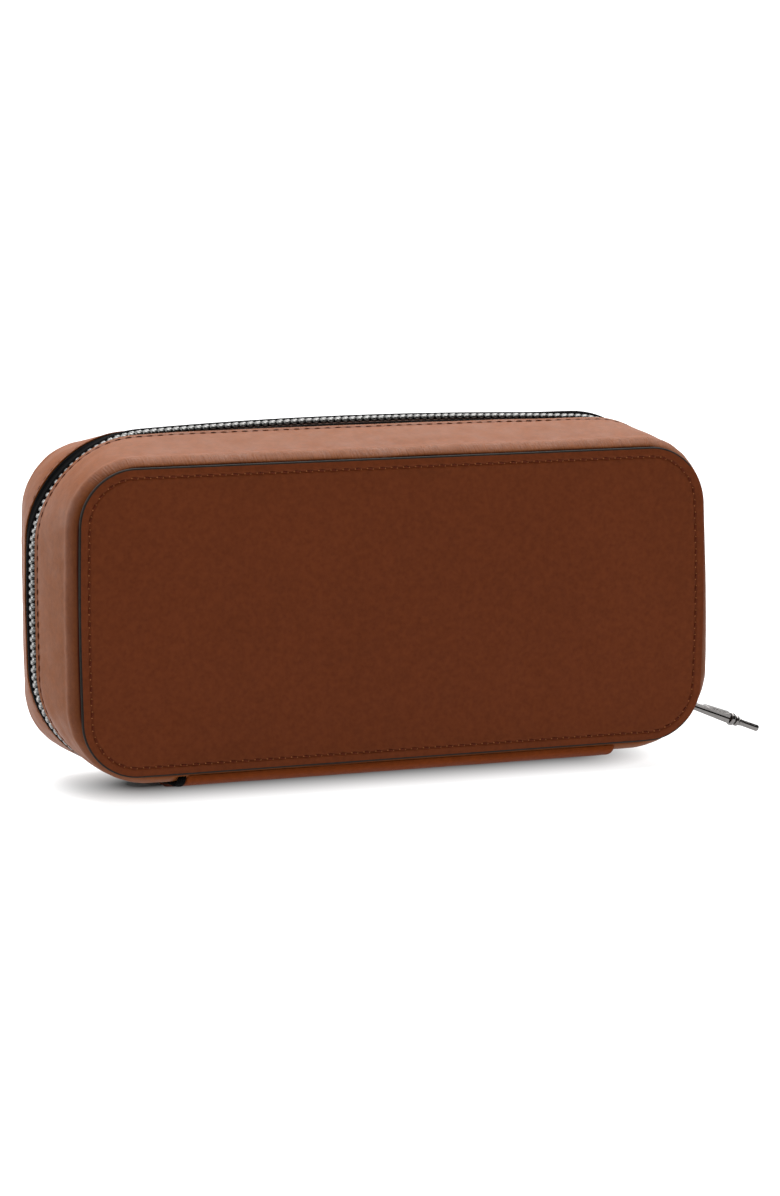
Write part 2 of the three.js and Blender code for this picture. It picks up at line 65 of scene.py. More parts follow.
# Outlines are rounded rectangles: width, height, lower and upper corner radius, bow of the sides,
# bow of the top, and lean of the right side. A higher power keeps the top flatter in the middle.
PANEL = np.array([200.0, 92.9, 16.9, 16.9, 1.1, 0.0, 0.0])
EDGE = np.array([211.4, 104.3, 34.0, 30.4, 1.9, 2.0, 0.0])
CHAIN = np.array([211.4, 104.3, 34.0, 34.0, 1.9, 4.0, 0.0])
GROWTH = np.array([2.0, 2.0, 1.0, 1.0, 0.0, 0.0, 0.0])
EDGE_POWER = 4
CHAIN_POWER = 2

# side of the zip plane, depth of the face panel's front and of the folded leather edge, and the
# lower and upper corner radius of the rolled band round the panel
Half = namedtuple("Half", "name side depth edge corners")
BASE = Half("base", -1, 32.5, 4.6, (24.0, 21.2))
LID = Half("lid", 1, 30.1, 7.0, (21.0, 20.3))
RIGHT_BOW = 0.6  # the right side bows out this much more than the left

ROLL_WIDTH = 2.8
ROLL_DEPTH = 6.5
PANEL_THICK = 1.3
ROLL_UNDER = PANEL_THICK - 0.15  # the roll ends this far under the panel's front
BAND = PANEL + GROWTH * ROLL_WIDTH
BAND_LEAN = 1.5  # the band's right side leans in at the top and out at the bottom

PANEL_PITCH = 3.87  # stitch lengths
WALL_PITCH = 3.35
TOOTH_PITCH = 2.38

# ---- Camera ----

YAW, PITCH, ROLL = (math.radians(a) for a in (20.2, 8.42, 0.11))  # from the left, down, and tilted
CAMERA_DISTANCE = 1.0657
AIM_SHIFT = (-0.00347, 0.00345)  # to the right and up of the near panel's middle, in metres
LENS = 105.35  # millimetres


def make_camera():
    forward = Vector((math.sin(YAW) * math.cos(PITCH), math.cos(YAW) * math.cos(PITCH), -math.sin(PITCH)))
    right = Vector((math.cos(YAW), -math.sin(YAW), 0))
    up = right.cross(forward)
    near_panel = Vector((0, -BASE.depth * MM, CENTRE_Z * MM))
    aim = near_panel + right * AIM_SHIFT[0] + up * AIM_SHIFT[1]
    data = bpy.data.cameras.new("camera")
    data.lens = LENS
    camera = bpy.data.objects.new("camera", data)
    bpy.context.scene.collection.objects.link(camera)
    turned = Matrix.Rotation(ROLL, 3, forward)
    axes = Matrix((turned @ right, turned @ up, -forward)).transposed()
    camera.matrix_world = Matrix.Translation(aim - forward * CAMERA_DISTANCE) @ axes.to_4x4()
    bpy.context.scene.camera = camera


make_camera()

# ---- Materials ----


class Shader:
    """A material's node tree, with short calls for the nodes used here."""

    def __init__(self, name, color, roughness, metallic=0.0, **sockets):
        self.material = bpy.data.materials.new(name)
        self.material.use_nodes = True
        self.tree = self.material.node_tree
        self.bsdf = self.tree.nodes["Principled BSDF"]
        self.bsdf.inputs["Base Color"].default_value = (*color, 1)
        self.bsdf.inputs["Roughness"].default_value = roughness
        self.bsdf.inputs["Metallic"].default_value = metallic
        for socket, value in sockets.items():
            self.bsdf.inputs[socket.replace("_", " ")].default_value = value
        self.coordinates = self.node("ShaderNodeTexCoord").outputs["Object"]

    def node(self, kind, **settings):
        made = self.tree.nodes.new(kind)
        for key, value in settings.items():
            setattr(made, key, value)
        return made

    def link(self, output, target):
        self.tree.links.new(output, target)

    def uv(self, scale=(1, 1, 1)):
        source = self.node("ShaderNodeUVMap", uv_map="UVMap").outputs["UV"]
        mapping = self.node("ShaderNodeMapping")
        mapping.inputs["Scale"].default_value = scale
        self.link(source, mapping.inputs["Vector"])
        return mapping.outputs["Vector"]

    def noise(self, scale, detail=3.0, source=None, rough=0.5):
        made = self.node("ShaderNodeTexNoise")
        made.inputs["Scale"].default_value = scale
        made.inputs["Detail"].default_value = detail
        made.inputs["Roughness"].default_value = rough
        self.link(source or self.coordinates, made.inputs["Vector"])
        return made.outputs["Fac"]

    def cells(self, scale):
        made = self.node("ShaderNodeTexVoronoi", feature="DISTANCE_TO_EDGE")
        made.inputs["Scale"].default_value = scale
        self.link(self.coordinates, made.inputs["Vector"])
        return made.outputs["Distance"]

    def wave(self, scale, direction, source):
        made = self.node("ShaderNodeTexWave", bands_direction=direction)
        made.inputs["Scale"].default_value = scale
        self.link(source, made.inputs["Vector"])
        return made.outputs["Fac"]

    def math(self, operation, a, b):
        made = self.node("ShaderNodeMath", operation=operation)
        for socket, value in zip(made.inputs, (a, b)):
            if isinstance(value, (int, float)):
                socket.default_value = value
            else:
                self.link(value, socket)
        return made.outputs[0]

    def ramp(self, value, low, high, out_low, out_high):
        made = self.node("ShaderNodeMapRange")
        self.link(value, made.inputs["Value"])
        for socket, number in zip(made.inputs[1:5], (low, high, out_low, out_high)):
            socket.default_value = number
        return made.outputs["Result"]

    def blend(self, factor, a, b):
        made = self.node("ShaderNodeMix", data_type="RGBA")
        self.link(factor, made.inputs["Factor"])
        for socket, value in ((made.inputs["A"], a), (made.inputs["B"], b)):
            if isinstance(value, tuple):
                socket.default_value = (*value, 1)
            else:
                self.link(value, socket)
        return made.outputs["Result"]

    def attribute(self, name):
        return self.node("ShaderNodeAttribute", attribute_name=name).outputs["Fac"]

    def bump(self, height, distance, strength=1.0, after=None):
        made = self.node("ShaderNodeBump")
        made.inputs["Strength"].default_value = strength
        made.inputs["Distance"].default_value = distance
        self.link(height, made.inputs["Height"])
        if after is not None:
            self.link(after, made.inputs["Normal"])
        return made.outputs["Normal"]

    def set(self, socket, output):
        self.link(output, self.bsdf.inputs[socket])


def shade(color, factor):
    return tuple(c * factor for c in color)


def leather(name, color, roughness=0.5, specular=0.12, pleated=False):
    """Smooth leather: fine grain, pores, and slow changes of tone. Pleats need UVs in millimetres."""
    s = Shader(name, color, roughness, Specular_IOR_Level=specular)
    slow = s.ramp(s.noise(24, 4), 0.3, 0.7, 0.0, 1.0)
    fine = s.noise(900, 3)
    tone = s.blend(slow, shade(color, 0.95), shade(color, 1.06))
    speck = s.math("MULTIPLY", s.ramp(fine, 0.35, 0.7, 0.0, 1.0), 0.5)
    tone = s.blend(speck, tone, shade(color, 0.7))
    cloud = s.math("MULTIPLY", s.ramp(s.noise(500, 3), 0.42, 0.68, 0.0, 1.0), 0.42)
    tone = s.blend(cloud, tone, shade(color, 1.25))
    # Painted shade: where the shade attribute is high, the colour goes to a deep red-brown, for creases,
    # grooves, hollows and shaded sides.
    tone = s.blend(s.attribute("shade"), tone, (0.28 * color[0], 0.1 * color[1], 0.06 * color[2]))
    s.set("Base Color", tone)
    s.set("Roughness", s.ramp(s.noise(160, 4), 0.3, 0.7, roughness - 0.04, roughness + 0.08))
    pebbles = s.ramp(s.cells(1500), 0.0, 0.25, 0.0, 1.0)
    height = s.math("ADD", s.math("MULTIPLY", pebbles, 0.5), s.math("MULTIPLY", fine, 0.9))
    normal = s.bump(height, 0.00004, 0.5)
    normal = s.bump(s.noise(120, 4), 0.0002, 0.3, normal)
    if pleated:
        folds = s.noise(1.0, 2, s.uv((1.1, 0.06, 1)), 0.7)
        normal = s.bump(s.math("MULTIPLY", folds, s.attribute("pleat")), 0.0004, 1.0, normal)
    s.set("Normal", normal)
    return s.material


def edge_paint():
    color = (0.024, 0.019, 0.016)
    s = Shader("edge_paint", color, 0.6, Specular_IOR_Level=0.05)
    s.set("Base Color", s.blend(s.noise(700, 3), shade(color, 0.6), shade(color, 1.5)))
    s.set("Normal", s.bump(s.noise(500, 4), 0.00008, 0.6))
    return s.material


def thread(name, color, tip_highlight):
    """Twisted sewing thread: the plies run round each stitch, and its ends are painted in the tip colour, a
    painted highlight where that is lighter.
    """
    s = Shader(name, color, 0.6, Specular_IOR_Level=0.1)
    twist = s.wave(1.2, "DIAGONAL", s.uv())
    tone = s.blend(twist, shade(color, 0.5), shade(color, 1.3))
    along = s.node("ShaderNodeSeparateXYZ")
    s.link(s.uv(), along.inputs[0])
    tip = s.ramp(s.math("ABSOLUTE", along.outputs["Y"], 0), 0.7, 0.95, 0.0, 1.0)
    s.set("Base Color", s.blend(tip, tone, tip_highlight))
    s.set("Normal", s.bump(twist, 0.00008, 0.7))
    return s.material


def woven(name, color, bright, specular=0.2):
    """Woven tape or cord. The UVs are in millimetres along and across it."""
    s = Shader(name, color, 0.8, Specular_IOR_Level=specular)
    weave = s.math("MULTIPLY", s.wave(0.55, "X", s.uv()), s.wave(0.42, "Y", s.uv()))
    s.set("Base Color", s.blend(weave, shade(color, 0.5), shade(color, bright)))
    s.set("Normal", s.bump(weave, 0.0001, 0.7))
    return s.material


def metal(name, color, roughness, wear=0.5):
    s = Shader(name, color, roughness, 1.0)
    s.set("Roughness", s.ramp(s.noise(420, 5), 0.3, 0.72, roughness * 0.75, roughness * (1.2 + wear)))
    s.set("Base Color", s.blend(s.noise(240, 3), shade(color, 0.8), shade(color, 1.12)))
    s.set("Normal", s.bump(s.noise(2600, 2), 0.00001, 0.25))
    return s.material


def suede(name, color):
    """Short brushed nap: blotches where it lies different ways."""
    s = Shader(name, color, 0.92, Specular_IOR_Level=0.1, Sheen_Weight=0.4, Sheen_Roughness=0.5)
    blotch = s.ramp(s.noise(85, 4, rough=0.6), 0.32, 0.68, 0.0, 1.0)
    nap = s.noise(2400, 3)
    tone = s.blend(blotch, shade(color, 0.8), shade(color, 1.15))
    s.set("Base Color", s.blend(s.math("MULTIPLY", nap, 0.5), tone, shade(color, 0.62)))
    s.set("Normal", s.bump(nap, 0.00009, 0.7))
    return s.material


def fibre_board():
    color = (0.27, 0.20, 0.14)
    s = Shader("fibre_board", color, 0.9)
    s.set("Base Color", s.blend(s.noise(600, 5), shade(color, 0.6), shade(color, 1.3)))
    s.set("Normal", s.bump(s.noise(1500, 4), 0.0001, 0.6))
    return s.material


HIDE = (0.163, 0.0376, 0.0108)
# The walls' hide has more green than HIDE: partly its own colour, partly a painted sheen for the whitish
# wash on the top wall.
WALL_HIDE_AND_SHEEN = (0.163, 0.047, 0.0110)
# The panel's hide is HIDE painted 6 % darker: painted shade, so that its front reads darker than the walls.
PANEL_LEATHER = leather("panel_leather", shade(HIDE, 0.94), 0.52, 0.06)
WALL_LEATHER = leather("wall_leather", WALL_HIDE_AND_SHEEN, 0.48, 0.08, pleated=True)
SPINE_LEATHER = leather("spine_leather", (0.17, 0.036, 0.006), 0.5, 0.03)
EDGE_PAINT = edge_paint()
# Its tips are painted lighter: a painted highlight.
PANEL_THREAD = thread("panel_thread", (0.12, 0.020, 0.005), (0.34, 0.12, 0.04))
WALL_THREAD = thread("wall_thread", (0.085, 0.019, 0.006), (0.085, 0.019, 0.006))
TAPE = woven("woven_tape", (0.0035, 0.0034, 0.0036), 1.6, 0.02)
CORD = woven("tape_cord", (0.06, 0.02, 0.008), 1.6)
NICKEL = metal("nickel", (0.155, 0.153, 0.148), 0.3)
GUNMETAL = metal("gunmetal", (0.2, 0.19, 0.185), 0.2)
SUEDE = suede("suede", (0.40, 0.27, 0.16))
BOARD = fibre_board()

# ---- Mesh helpers ----


def mesh_piece(name, points, faces, material, uvs=None, attributes=None, slots=None, sharp=None):
    """A mesh object from points in millimetres. slots is (more materials, the slot of each face).

    The piece is smooth, except over edges sharper than sharp degrees.
    """
    mesh = bpy.data.meshes.new(name)
    mesh.from_pydata((np.asarray(points, float) * MM).tolist(), [], [tuple(f) for f in faces])
    piece = bpy.data.objects.new(name, mesh)
    bpy.context.scene.collection.objects.link(piece)
    mesh.materials.append(material)
    if slots:
        for extra in slots[0]:
            mesh.materials.append(extra)
        mesh.polygons.foreach_set("material_index", np.asarray(slots[1], np.int32))
    if uvs is not None:
        layer = mesh.uv_layers.new(name="UVMap")
        loops = np.zeros(len(mesh.loops), np.int32)
        mesh.loops.foreach_get("vertex_index", loops)
        layer.data.foreach_set("uv", np.asarray(uvs, np.float32)[loops].ravel())
    for key, values in (attributes or {}).items():
        layer = mesh.attributes.new(key, "FLOAT", "POINT")
        layer.data.foreach_set("value", np.asarray(values, np.float32))
    mesh.polygons.foreach_set("use_smooth", np.ones(len(mesh.polygons), bool))
    outward(mesh)
    if sharp is not None:
        mesh.set_sharp_from_angle(angle=math.radians(sharp))
    return piece


def outward(mesh):
    made = bmesh.new()
    made.from_mesh(mesh)
    bmesh.ops.recalc_face_normals(made, faces=made.faces)
    made.to_mesh(mesh)
    made.free()


def fit_out(piece, body, slot, *nodes):
    """The piece rides on a body and stands for these CAD nodes."""
    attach(piece, body)
    if nodes:
        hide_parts(*nodes)


def box_of(node):
    """A CAD node's low and high corners, in millimetres."""
    return [np.array(corner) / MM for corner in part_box(node)]


def middle_and_half(node):
    low, high = box_of(node)
    return (low + high) / 2, (high - low) / 2


def arc_angles(first, last, count):
    """Angles in radians, given in degrees."""
    return np.radians(np.linspace(first, last, count))


def grid_faces(rings, count, close_ring, close_stack, start=0):
    r = np.arange(rings if close_stack else rings - 1)[:, None]
    p = np.arange(count if close_ring else count - 1)[None, :]
    r1, p1 = (r + 1) % rings, (p + 1) % count
    quads = np.stack([r * count + p, r * count + p1, r1 * count + p1, r1 * count + p], -1)
    return (quads.reshape(-1, 4) + start).tolist()


def loft(rings):
    """Points and faces of a solid through closed rings, with flat ends."""
    count = len(rings[0])
    faces = grid_faces(len(rings), count, True, False)
    faces += [list(range(count)), list(range((len(rings) - 1) * count, len(rings) * count))]
    return np.concatenate(rings), faces


def merged(solids):
    """One mesh from several lots of points and faces."""
    points, faces, start = [], [], 0
    for p, f in solids:
        points.append(p)
        faces += [[i + start for i in face] for face in f]
        start += len(p)
    return np.concatenate(points), faces


def smoothstep(x):
    x = np.clip(x, 0, 1)
    return x * x * (3 - 2 * x)


def bell(x, middle, width):
    return np.exp(-(((x - middle) / width) ** 2))


def waves(s, seed, low, high, count=7):
    """A smooth irregular line: sines of wavelengths from low to high, each of random phase."""
    rng = np.random.default_rng(seed)
    lengths = np.geomspace(low, high, count) * rng.uniform(0.9, 1.1, count)
    phases = rng.uniform(0, 2 * math.pi, count)
    return sum(np.sin(2 * math.pi * s / w + p) for w, p in zip(lengths, phases)) / math.sqrt(count)


def rounded_box(half_a, half_b, radius, steps=4):
    """A closed ring of points round a rectangle with rounded corners."""
    ring = []
    for k, (sa, sb) in enumerate(((1, 1), (-1, 1), (-1, -1), (1, -1))):
        angles = np.linspace(0, math.pi / 2, steps) + k * math.pi / 2
        centre = np.array([sa * (half_a - radius), sb * (half_b - radius)])
        ring.append(centre + radius * np.stack([np.cos(angles), np.sin(angles)], 1))
    return np.concatenate(ring)


# ---- Outlines ----

CORNER_STEPS = 26
SIDE_STEPS = (26, 84, 26, 84)  # left, top, right, bottom
ZIPPED = 4 * (CORNER_STEPS + 1) + sum(SIDE_STEPS[:3]) - 3  # points on the three zipped sides


def grow(spec, amount):
    return spec + GROWTH * amount


def outline(spec, power=EDGE_POWER, density=1):
    """X and Z of a bowed rounded rectangle, clockwise from the left end of its bottom side."""
    width, height, low_radius, high_radius, side_bow, top_bow, lean = spec
    corners = []
    for sideways, upwards, bearing in ((-1, -1, -90), (-1, 1, 180), (1, 1, 90), (1, -1, 0)):
        radius = high_radius if upwards > 0 else low_radius
        centre = np.array([sideways * (width / 2 - radius), upwards * (height / 2 - radius)])
        angles = np.radians(bearing - np.linspace(0, 90, CORNER_STEPS * density + 1))
        corners.append(centre + radius * np.stack([np.cos(angles), np.sin(angles)], 1))
    runs = []
    for k, arc in enumerate(corners):
        steps = SIDE_STEPS[k] * density
        shares = (np.arange(1, steps) / steps)[:, None]
        runs += [arc, arc[-1] + shares * (corners[(k + 1) % 4][0] - arc[-1])]
    x, z = np.concatenate(runs).T
    u, v = np.abs(x) / (width / 2), z / (height / 2)
    lift = np.where(z > 0, top_bow * (1 - u**power) * v * v, 0)
    bow = np.where(x > 0, side_bow + RIGHT_BOW, -side_bow) * (1 - v * v)
    leaning = np.where(x > 0, -lean * v * (1 - v**4), 0)
    return np.stack([x + (bow + leaning) * u * u, z + lift], 1)


def normals_of(line):
    along = np.roll(line, -1, 0) - np.roll(line, 1, 0)
    out = np.stack([-along[:, 1], along[:, 0]], 1)
    return out / np.linalg.norm(out, axis=1)[:, None]


def lengths_of(line):
    steps = np.linalg.norm(np.diff(line, axis=0, append=line[:1]), axis=1)
    return np.concatenate([[0], np.cumsum(steps)[:-1]]), steps.sum()


def wall_spec(half, t):
    """The outside of a half's wall at distance t from the zip plane."""
    share = np.clip((t - half.edge) / (half.depth - ROLL_DEPTH - half.edge), 0, 1)
    band = BAND.copy()
    band[2:4] = half.corners
    band[6] = BAND_LEAN
    return EDGE + (band - EDGE) * share


def place(half, t, line):
    """Points in 3-D from an outline at distance t from the zip plane."""
    y = np.broadcast_to(half.side * np.asarray(t, float), (len(line),))
    return np.stack([line[:, 0], y, CENTRE_Z + line[:, 1]], 1)


def walk(line, distances, closed):
    """Points and unit tangents at distances along a line."""
    path = np.concatenate([line, line[:1]]) if closed else line
    steps = np.linalg.norm(np.diff(path, axis=0), axis=1)
    at = np.concatenate([[0], np.cumsum(steps)])
    keep = np.concatenate([[True], steps > 1e-6])

    def point(d):
        return np.stack([np.interp(d, at[keep], path[keep][:, k]) for k in range(path.shape[1])], 1)

    d = np.asarray(distances)
    tangent = point(np.minimum(d + 0.4, at[-1])) - point(np.maximum(d - 0.4, 0))
    return point(d), tangent / np.linalg.norm(tangent, axis=1)[:, None]


# ---- Stitches ----


def sew(name, half, t, line, pitch, material, slot, facing=0, length=0.7, radius=0.27, tilt=7, rise=0.2):
    """A row of lockstitches on a closed outline at distance t from the zip plane.

    Each is a short thread that dives into the leather at its ends. facing is the way along Y that the
    leather faces, or 0 where it faces out of the outline.
    """
    total = lengths_of(line)[1]
    count = round(total / pitch)
    points, along = walk(line, (np.arange(count) + 0.5) * total / count, True)
    points = place(half, t, points)
    tangents = np.stack([along[:, 0], np.zeros(count), along[:, 1]], 1)
    outs = np.tile([0.0, facing, 0.0], (count, 1)) if facing else np.cross(tangents, [0, 1, 0])
    sides, rings = 7, 8
    u = np.linspace(-1, 1, rings)
    turn = np.linspace(0, 2 * math.pi, sides, endpoint=False)[None, :, None]
    reach = pitch * length / 2
    lean = math.radians(tilt)
    taper = (np.sqrt(np.clip(1 - np.abs(u) ** 4, 0.04, 1)) * radius)[:, None, None]
    dive = rise - 0.42 * np.abs(u) ** 3
    solids, uvs = [], []
    for p, a, n in zip(points, tangents, outs):
        across = np.cross(n, a)
        along = a * math.cos(lean) + across * math.sin(lean)
        beside = np.cross(n, along)
        centre = p + u[:, None] * reach * along + dive[:, None] * n
        ring = centre[:, None, :] + np.cos(turn) * taper * beside + np.sin(turn) * 0.8 * taper * n
        solids.append(loft(list(ring)))
        uvs.append(np.stack(np.meshgrid(np.arange(sides) / sides * 2, u * reach), -1).reshape(-1, 2))
    verts, faces = merged(solids)
    fit_out(mesh_piece(name, verts, faces, material, np.concatenate(uvs)), half.name, slot)


# ---- Walls ----

STITCH_FROM_EDGE = 1.8
FOLD_RADIUS = 0.35
WALL_DENSITY = 3
WALL_SWELL = 0.2  # the wall is fuller in its middle
WALL_UV_LENGTH = 600  # the UVs run this far round the wall, in about millimetres


def wall_inset(s):
    """How far the wall is pulled in at the seam, at distance s from the folded edge."""
    seam = 0.2 * bell(s, STITCH_FROM_EDGE, 1.3) + 0.08 * bell(s, STITCH_FROM_EDGE, 0.4)
    return seam * smoothstep(s / FOLD_RADIUS)


def roll_inset(p):
    """How far the roll has turned in, from its shoulder at 0 to the panel at 1."""
    return ROLL_WIDTH * (0.4 * np.clip(p, 0, 1) ** 1.6 + 0.6 * (1 - np.sqrt(1 - np.clip(p, 0, 1) ** 2)))


def shoulder_swell(t, shoulder):
    """How far the leather stands out just past the roll's shoulder."""
    return 0.15 * bell(t, shoulder + 1, 1.5)


def gusset_profile(half):
    """(t, inset, pleat share, painted shade), from inside the folded edge over the wall and roll to the
    panel.
    """
    inside = 2 * FOLD_RADIUS + 0.05
    # The rows inside the folded edge carry painted shade.
    rows = [(half.edge + 2.6, inside, 0, 0.5), (half.edge + 1.4, inside, 0, 0.5)]
    for angle in arc_angles(-80, 80, 9):
        t = half.edge + FOLD_RADIUS * (1 - math.cos(angle))
        rows.append((t, FOLD_RADIUS * (1 - math.sin(angle)), 0, 0))
    shoulder = half.depth - ROLL_DEPTH
    near = half.edge + np.linspace(FOLD_RADIUS + 0.1, STITCH_FROM_EDGE + 2, 16)
    for t in np.concatenate([near, np.linspace(near[-1] + 0.7, shoulder, 18)]):
        s = t - half.edge
        crease = 0.05 * bell(t, shoulder - 0.8, 0.9) - shoulder_swell(t, shoulder)
        full = WALL_SWELL * math.sin(math.pi * np.clip((s - 3) / (shoulder - half.edge - 3), 0, 1))
        # Painted shade along the stitch groove.
        groove = 0.6 * bell(s, STITCH_FROM_EDGE, 0.36)
        rows.append((t, wall_inset(s) + crease - full, 0.1 * smoothstep((t - shoulder + 4) / 4), groove))
    top = half.depth - ROLL_UNDER
    for p in np.sin(np.linspace(0.1, 1, 15) * math.pi / 2):
        t, inset = shoulder + (top - shoulder) * p, roll_inset(p)
        pleat = 0.3 + 0.7 * smoothstep((p - 0.1) / 0.4)
        # Painted shade: the roll darkens as it turns in under the panel.
        rows.append((t, inset - shoulder_swell(t, shoulder), pleat, smoothstep((inset - 2.1) / 0.9)))
    # The rows under the panel carry painted shade.
    return rows + [(top - 0.5, ROLL_WIDTH + 0.5, 0, 0.9), (top - 0.7, ROLL_WIDTH + 2, 0, 0.9)]


def make_gusset(half):
    seed = 11 if half is BASE else 23
    rings, shades, pleats, uvs = [], [], [], []
    for t, inset, pleat, shade_value in gusset_profile(half):
        spec = wall_spec(half, t)
        spec[6] *= 1 - smoothstep(inset / ROLL_WIDTH)
        line = outline(spec, density=WALL_DENSITY)
        around, total = lengths_of(line)
        around = around / total * WALL_UV_LENGTH
        gathers = np.clip(np.abs(waves(around, seed, 1.4, 3.2, 6)) - 0.2, 0, 1.5)
        puckers = waves(around + 0.4 * t, seed + 1, 5, 16, 6) * bell(t, half.depth - ROLL_DEPTH - 1, 3.5)
        soft = waves(around + 3 * t, seed + 2, 25, 90, 6)
        out = normals_of(line)
        # Painted shade: the base's roll is darker where it faces left.
        left_roll_shade = 0.35 * pleat * np.clip(-out[:, 0], 0, 1) if half is BASE else 0.0
        pleat = pleat * (0.12 + 0.88 * smoothstep((line[:, 1] - 34) / 14))
        height = -inset + 0.06 * soft + 0.05 * puckers - 0.06 * pleat * gathers
        rings.append(place(half, t, line + out * height[:, None]))
        # Painted shade: darker in the pleats' gathers.
        shades.append(np.clip(shade_value + left_roll_shade + 0.07 * pleat * gathers, 0, 1))
        pleats.append(pleat)
        uvs.append(np.stack([around, np.full(len(line), t)], 1))
    piece = mesh_piece(
        f"{half.name}_wall_leather",
        np.concatenate(rings),
        grid_faces(len(rings), len(rings[0]), True, False),
        WALL_LEATHER,
        np.concatenate(uvs),
        {"shade": np.concatenate(shades), "pleat": np.concatenate(pleats)},
    )
    thickness = piece.modifiers.new("thickness", "SOLIDIFY")
    thickness.thickness = 0.5 * MM
    thickness.offset = -1
    fit_out(piece, half.name, "wall_leather", f"{half.name}_gusset")


def make_wall_stitches(half):
    t = half.edge + STITCH_FROM_EDGE
    line = outline(grow(wall_spec(half, t), -wall_inset(STITCH_FROM_EDGE)))
    sew(
        f"{half.name}_wall_stitches", half, t, line, WALL_PITCH, WALL_THREAD, "wall_leather",
        length=0.72, tilt=6 * half.side, rise=0.14 if half is BASE else -0.04,
    )


# ---- Face panels ----

STITCH_INSET = 3.0
PANEL_ARRIS = 0.52


def panel_surface(inset):
    """Depth of the panel's front below its middle, at an inset: a pressed line under the stitches."""
    return 0.22 * bell(inset, STITCH_INSET, 0.4) + 0.12 * (1 - smoothstep((inset - 0.4) / 2.2))


def make_panel(half):
    back = half.depth - PANEL_THICK
    rows = [(back, 1.2, 1), (back, 0.15, 1), (back + 0.2, 0.0, 1), (half.depth - PANEL_ARRIS - 0.1, 0.0, 1)]
    for angle in arc_angles(15, 90, 7):
        t = half.depth - 0.12 - PANEL_ARRIS * (1 - math.sin(angle))
        rows.append((t, PANEL_ARRIS * (1 - math.cos(angle)), 2))
    for inset in np.concatenate([np.linspace(0.6, 2.0, 5), np.linspace(2.2, 3.9, 13), (4.5, 6, 8, 11)]):
        rows.append((half.depth - panel_surface(inset), inset, 0))
    rings, painted, shades = [], [], []
    for t, inset, is_painted in rows:
        line = outline(grow(PANEL, -inset), density=2)
        rings.append(place(half, t, line))
        painted.append(is_painted)
        # Painted shade along the pressed line under the stitches.
        shades.append(np.full(len(line), 0.34 * bell(inset, STITCH_INSET, 0.36)))
    for scale in (0.92, 0.8, 0.65, 0.5, 0.35, 0.2, 0.08):
        rings.append(place(half, half.depth, line * scale))
        painted.append(0)
        shades.append(np.zeros(len(line)))
    verts, faces = loft(rings)
    bands = np.repeat([min(pair) for pair in zip(painted, painted[1:])], len(line)).reshape(-1, len(line))
    on_right = normals_of(outline(PANEL, density=2))[:, 0] * -half.side > 0.75
    bands = np.where(bands == 2, ~on_right, bands)
    piece = mesh_piece(
        f"{half.name}_panel",
        verts,
        faces,
        PANEL_LEATHER,
        attributes={"shade": np.concatenate(shades)},
        slots=([EDGE_PAINT], np.concatenate([bands.ravel(), [1, 0]])),
    )
    fit_out(piece, half.name, "panel_leather", f"{half.name}_face_panel")


def make_panel_stitches(half):
    sew(
        f"{half.name}_panel_stitches", half, half.depth - panel_surface(STITCH_INSET),
        outline(grow(PANEL, -STITCH_INSET)), PANEL_PITCH, PANEL_THREAD, "panel_leather",
        facing=half.side, tilt=7 * half.side,
    )


# ---- Zip ----

LEATHER_LINE = outline(EDGE)[:ZIPPED]
CHAIN_LINE = outline(CHAIN, CHAIN_POWER)[:ZIPPED]
CHAIN_OUT = normals_of(outline(CHAIN, CHAIN_POWER))[:ZIPPED]
SLIDER_RISE = 1.35  # the chain stands this proud where it goes through the slider
RIGHT_SIDE = ZIPPED - 2 * CORNER_STEPS - SIDE_STEPS[2]
CHAIN_RISE = SLIDER_RISE * smoothstep((np.arange(ZIPPED) - RIGHT_SIDE) / (SIDE_STEPS[2] + CORNER_STEPS))
CREST = CHAIN_LINE + CHAIN_OUT * CHAIN_RISE[:, None]
ZIP_AT = np.concatenate([[0], np.cumsum(np.linalg.norm(np.diff(CREST, axis=0), axis=1))])
LID_TAPE_BULGE = 0.9 * bell(ZIP_AT, ZIP_AT[RIGHT_SIDE] + 4, 14)  # it stands up at the upper right corner
TAPE_THICK = 0.55
TAPE_BACK = 9.4  # the tape's hidden edge, under the leather
CORD_REACH = 3.7  # the tape's corded strip beside the teeth


def tape_profile(half):
    """(t, share of the chain's line, depth under the chain, depth under the leather's outline)."""
    e = half.edge
    rows = [(1.2, 1, 1.5, 0), (2.6, 1, 1.5, 0)]
    if half is BASE:
        rows += [(3.0, 1, 1.5, 0), (3.6, 0.75, 1.2, 0.4), (4.1, 0.3, 0.7, 0.4)]
    else:
        rows += [(3.1, 1, 0.8, 0), (3.6, 1, 0.2, 0), (4.2, 1, 0, 0), (5.1, 1, 0, 0)]
        rows += [(5.8, 0.7, 0.2, 0.3), (6.4, 0.25, 0.3, 0.4)]
    rows += [(e - 0.3, 0, 0, 0.45), (e, 0, 0, 0.6), (e + 0.4, 0, 0, 0.8)]
    return rows + [(e + 1.3, 0, 0, 1.4), (TAPE_BACK, 0, 0, 1.6)]


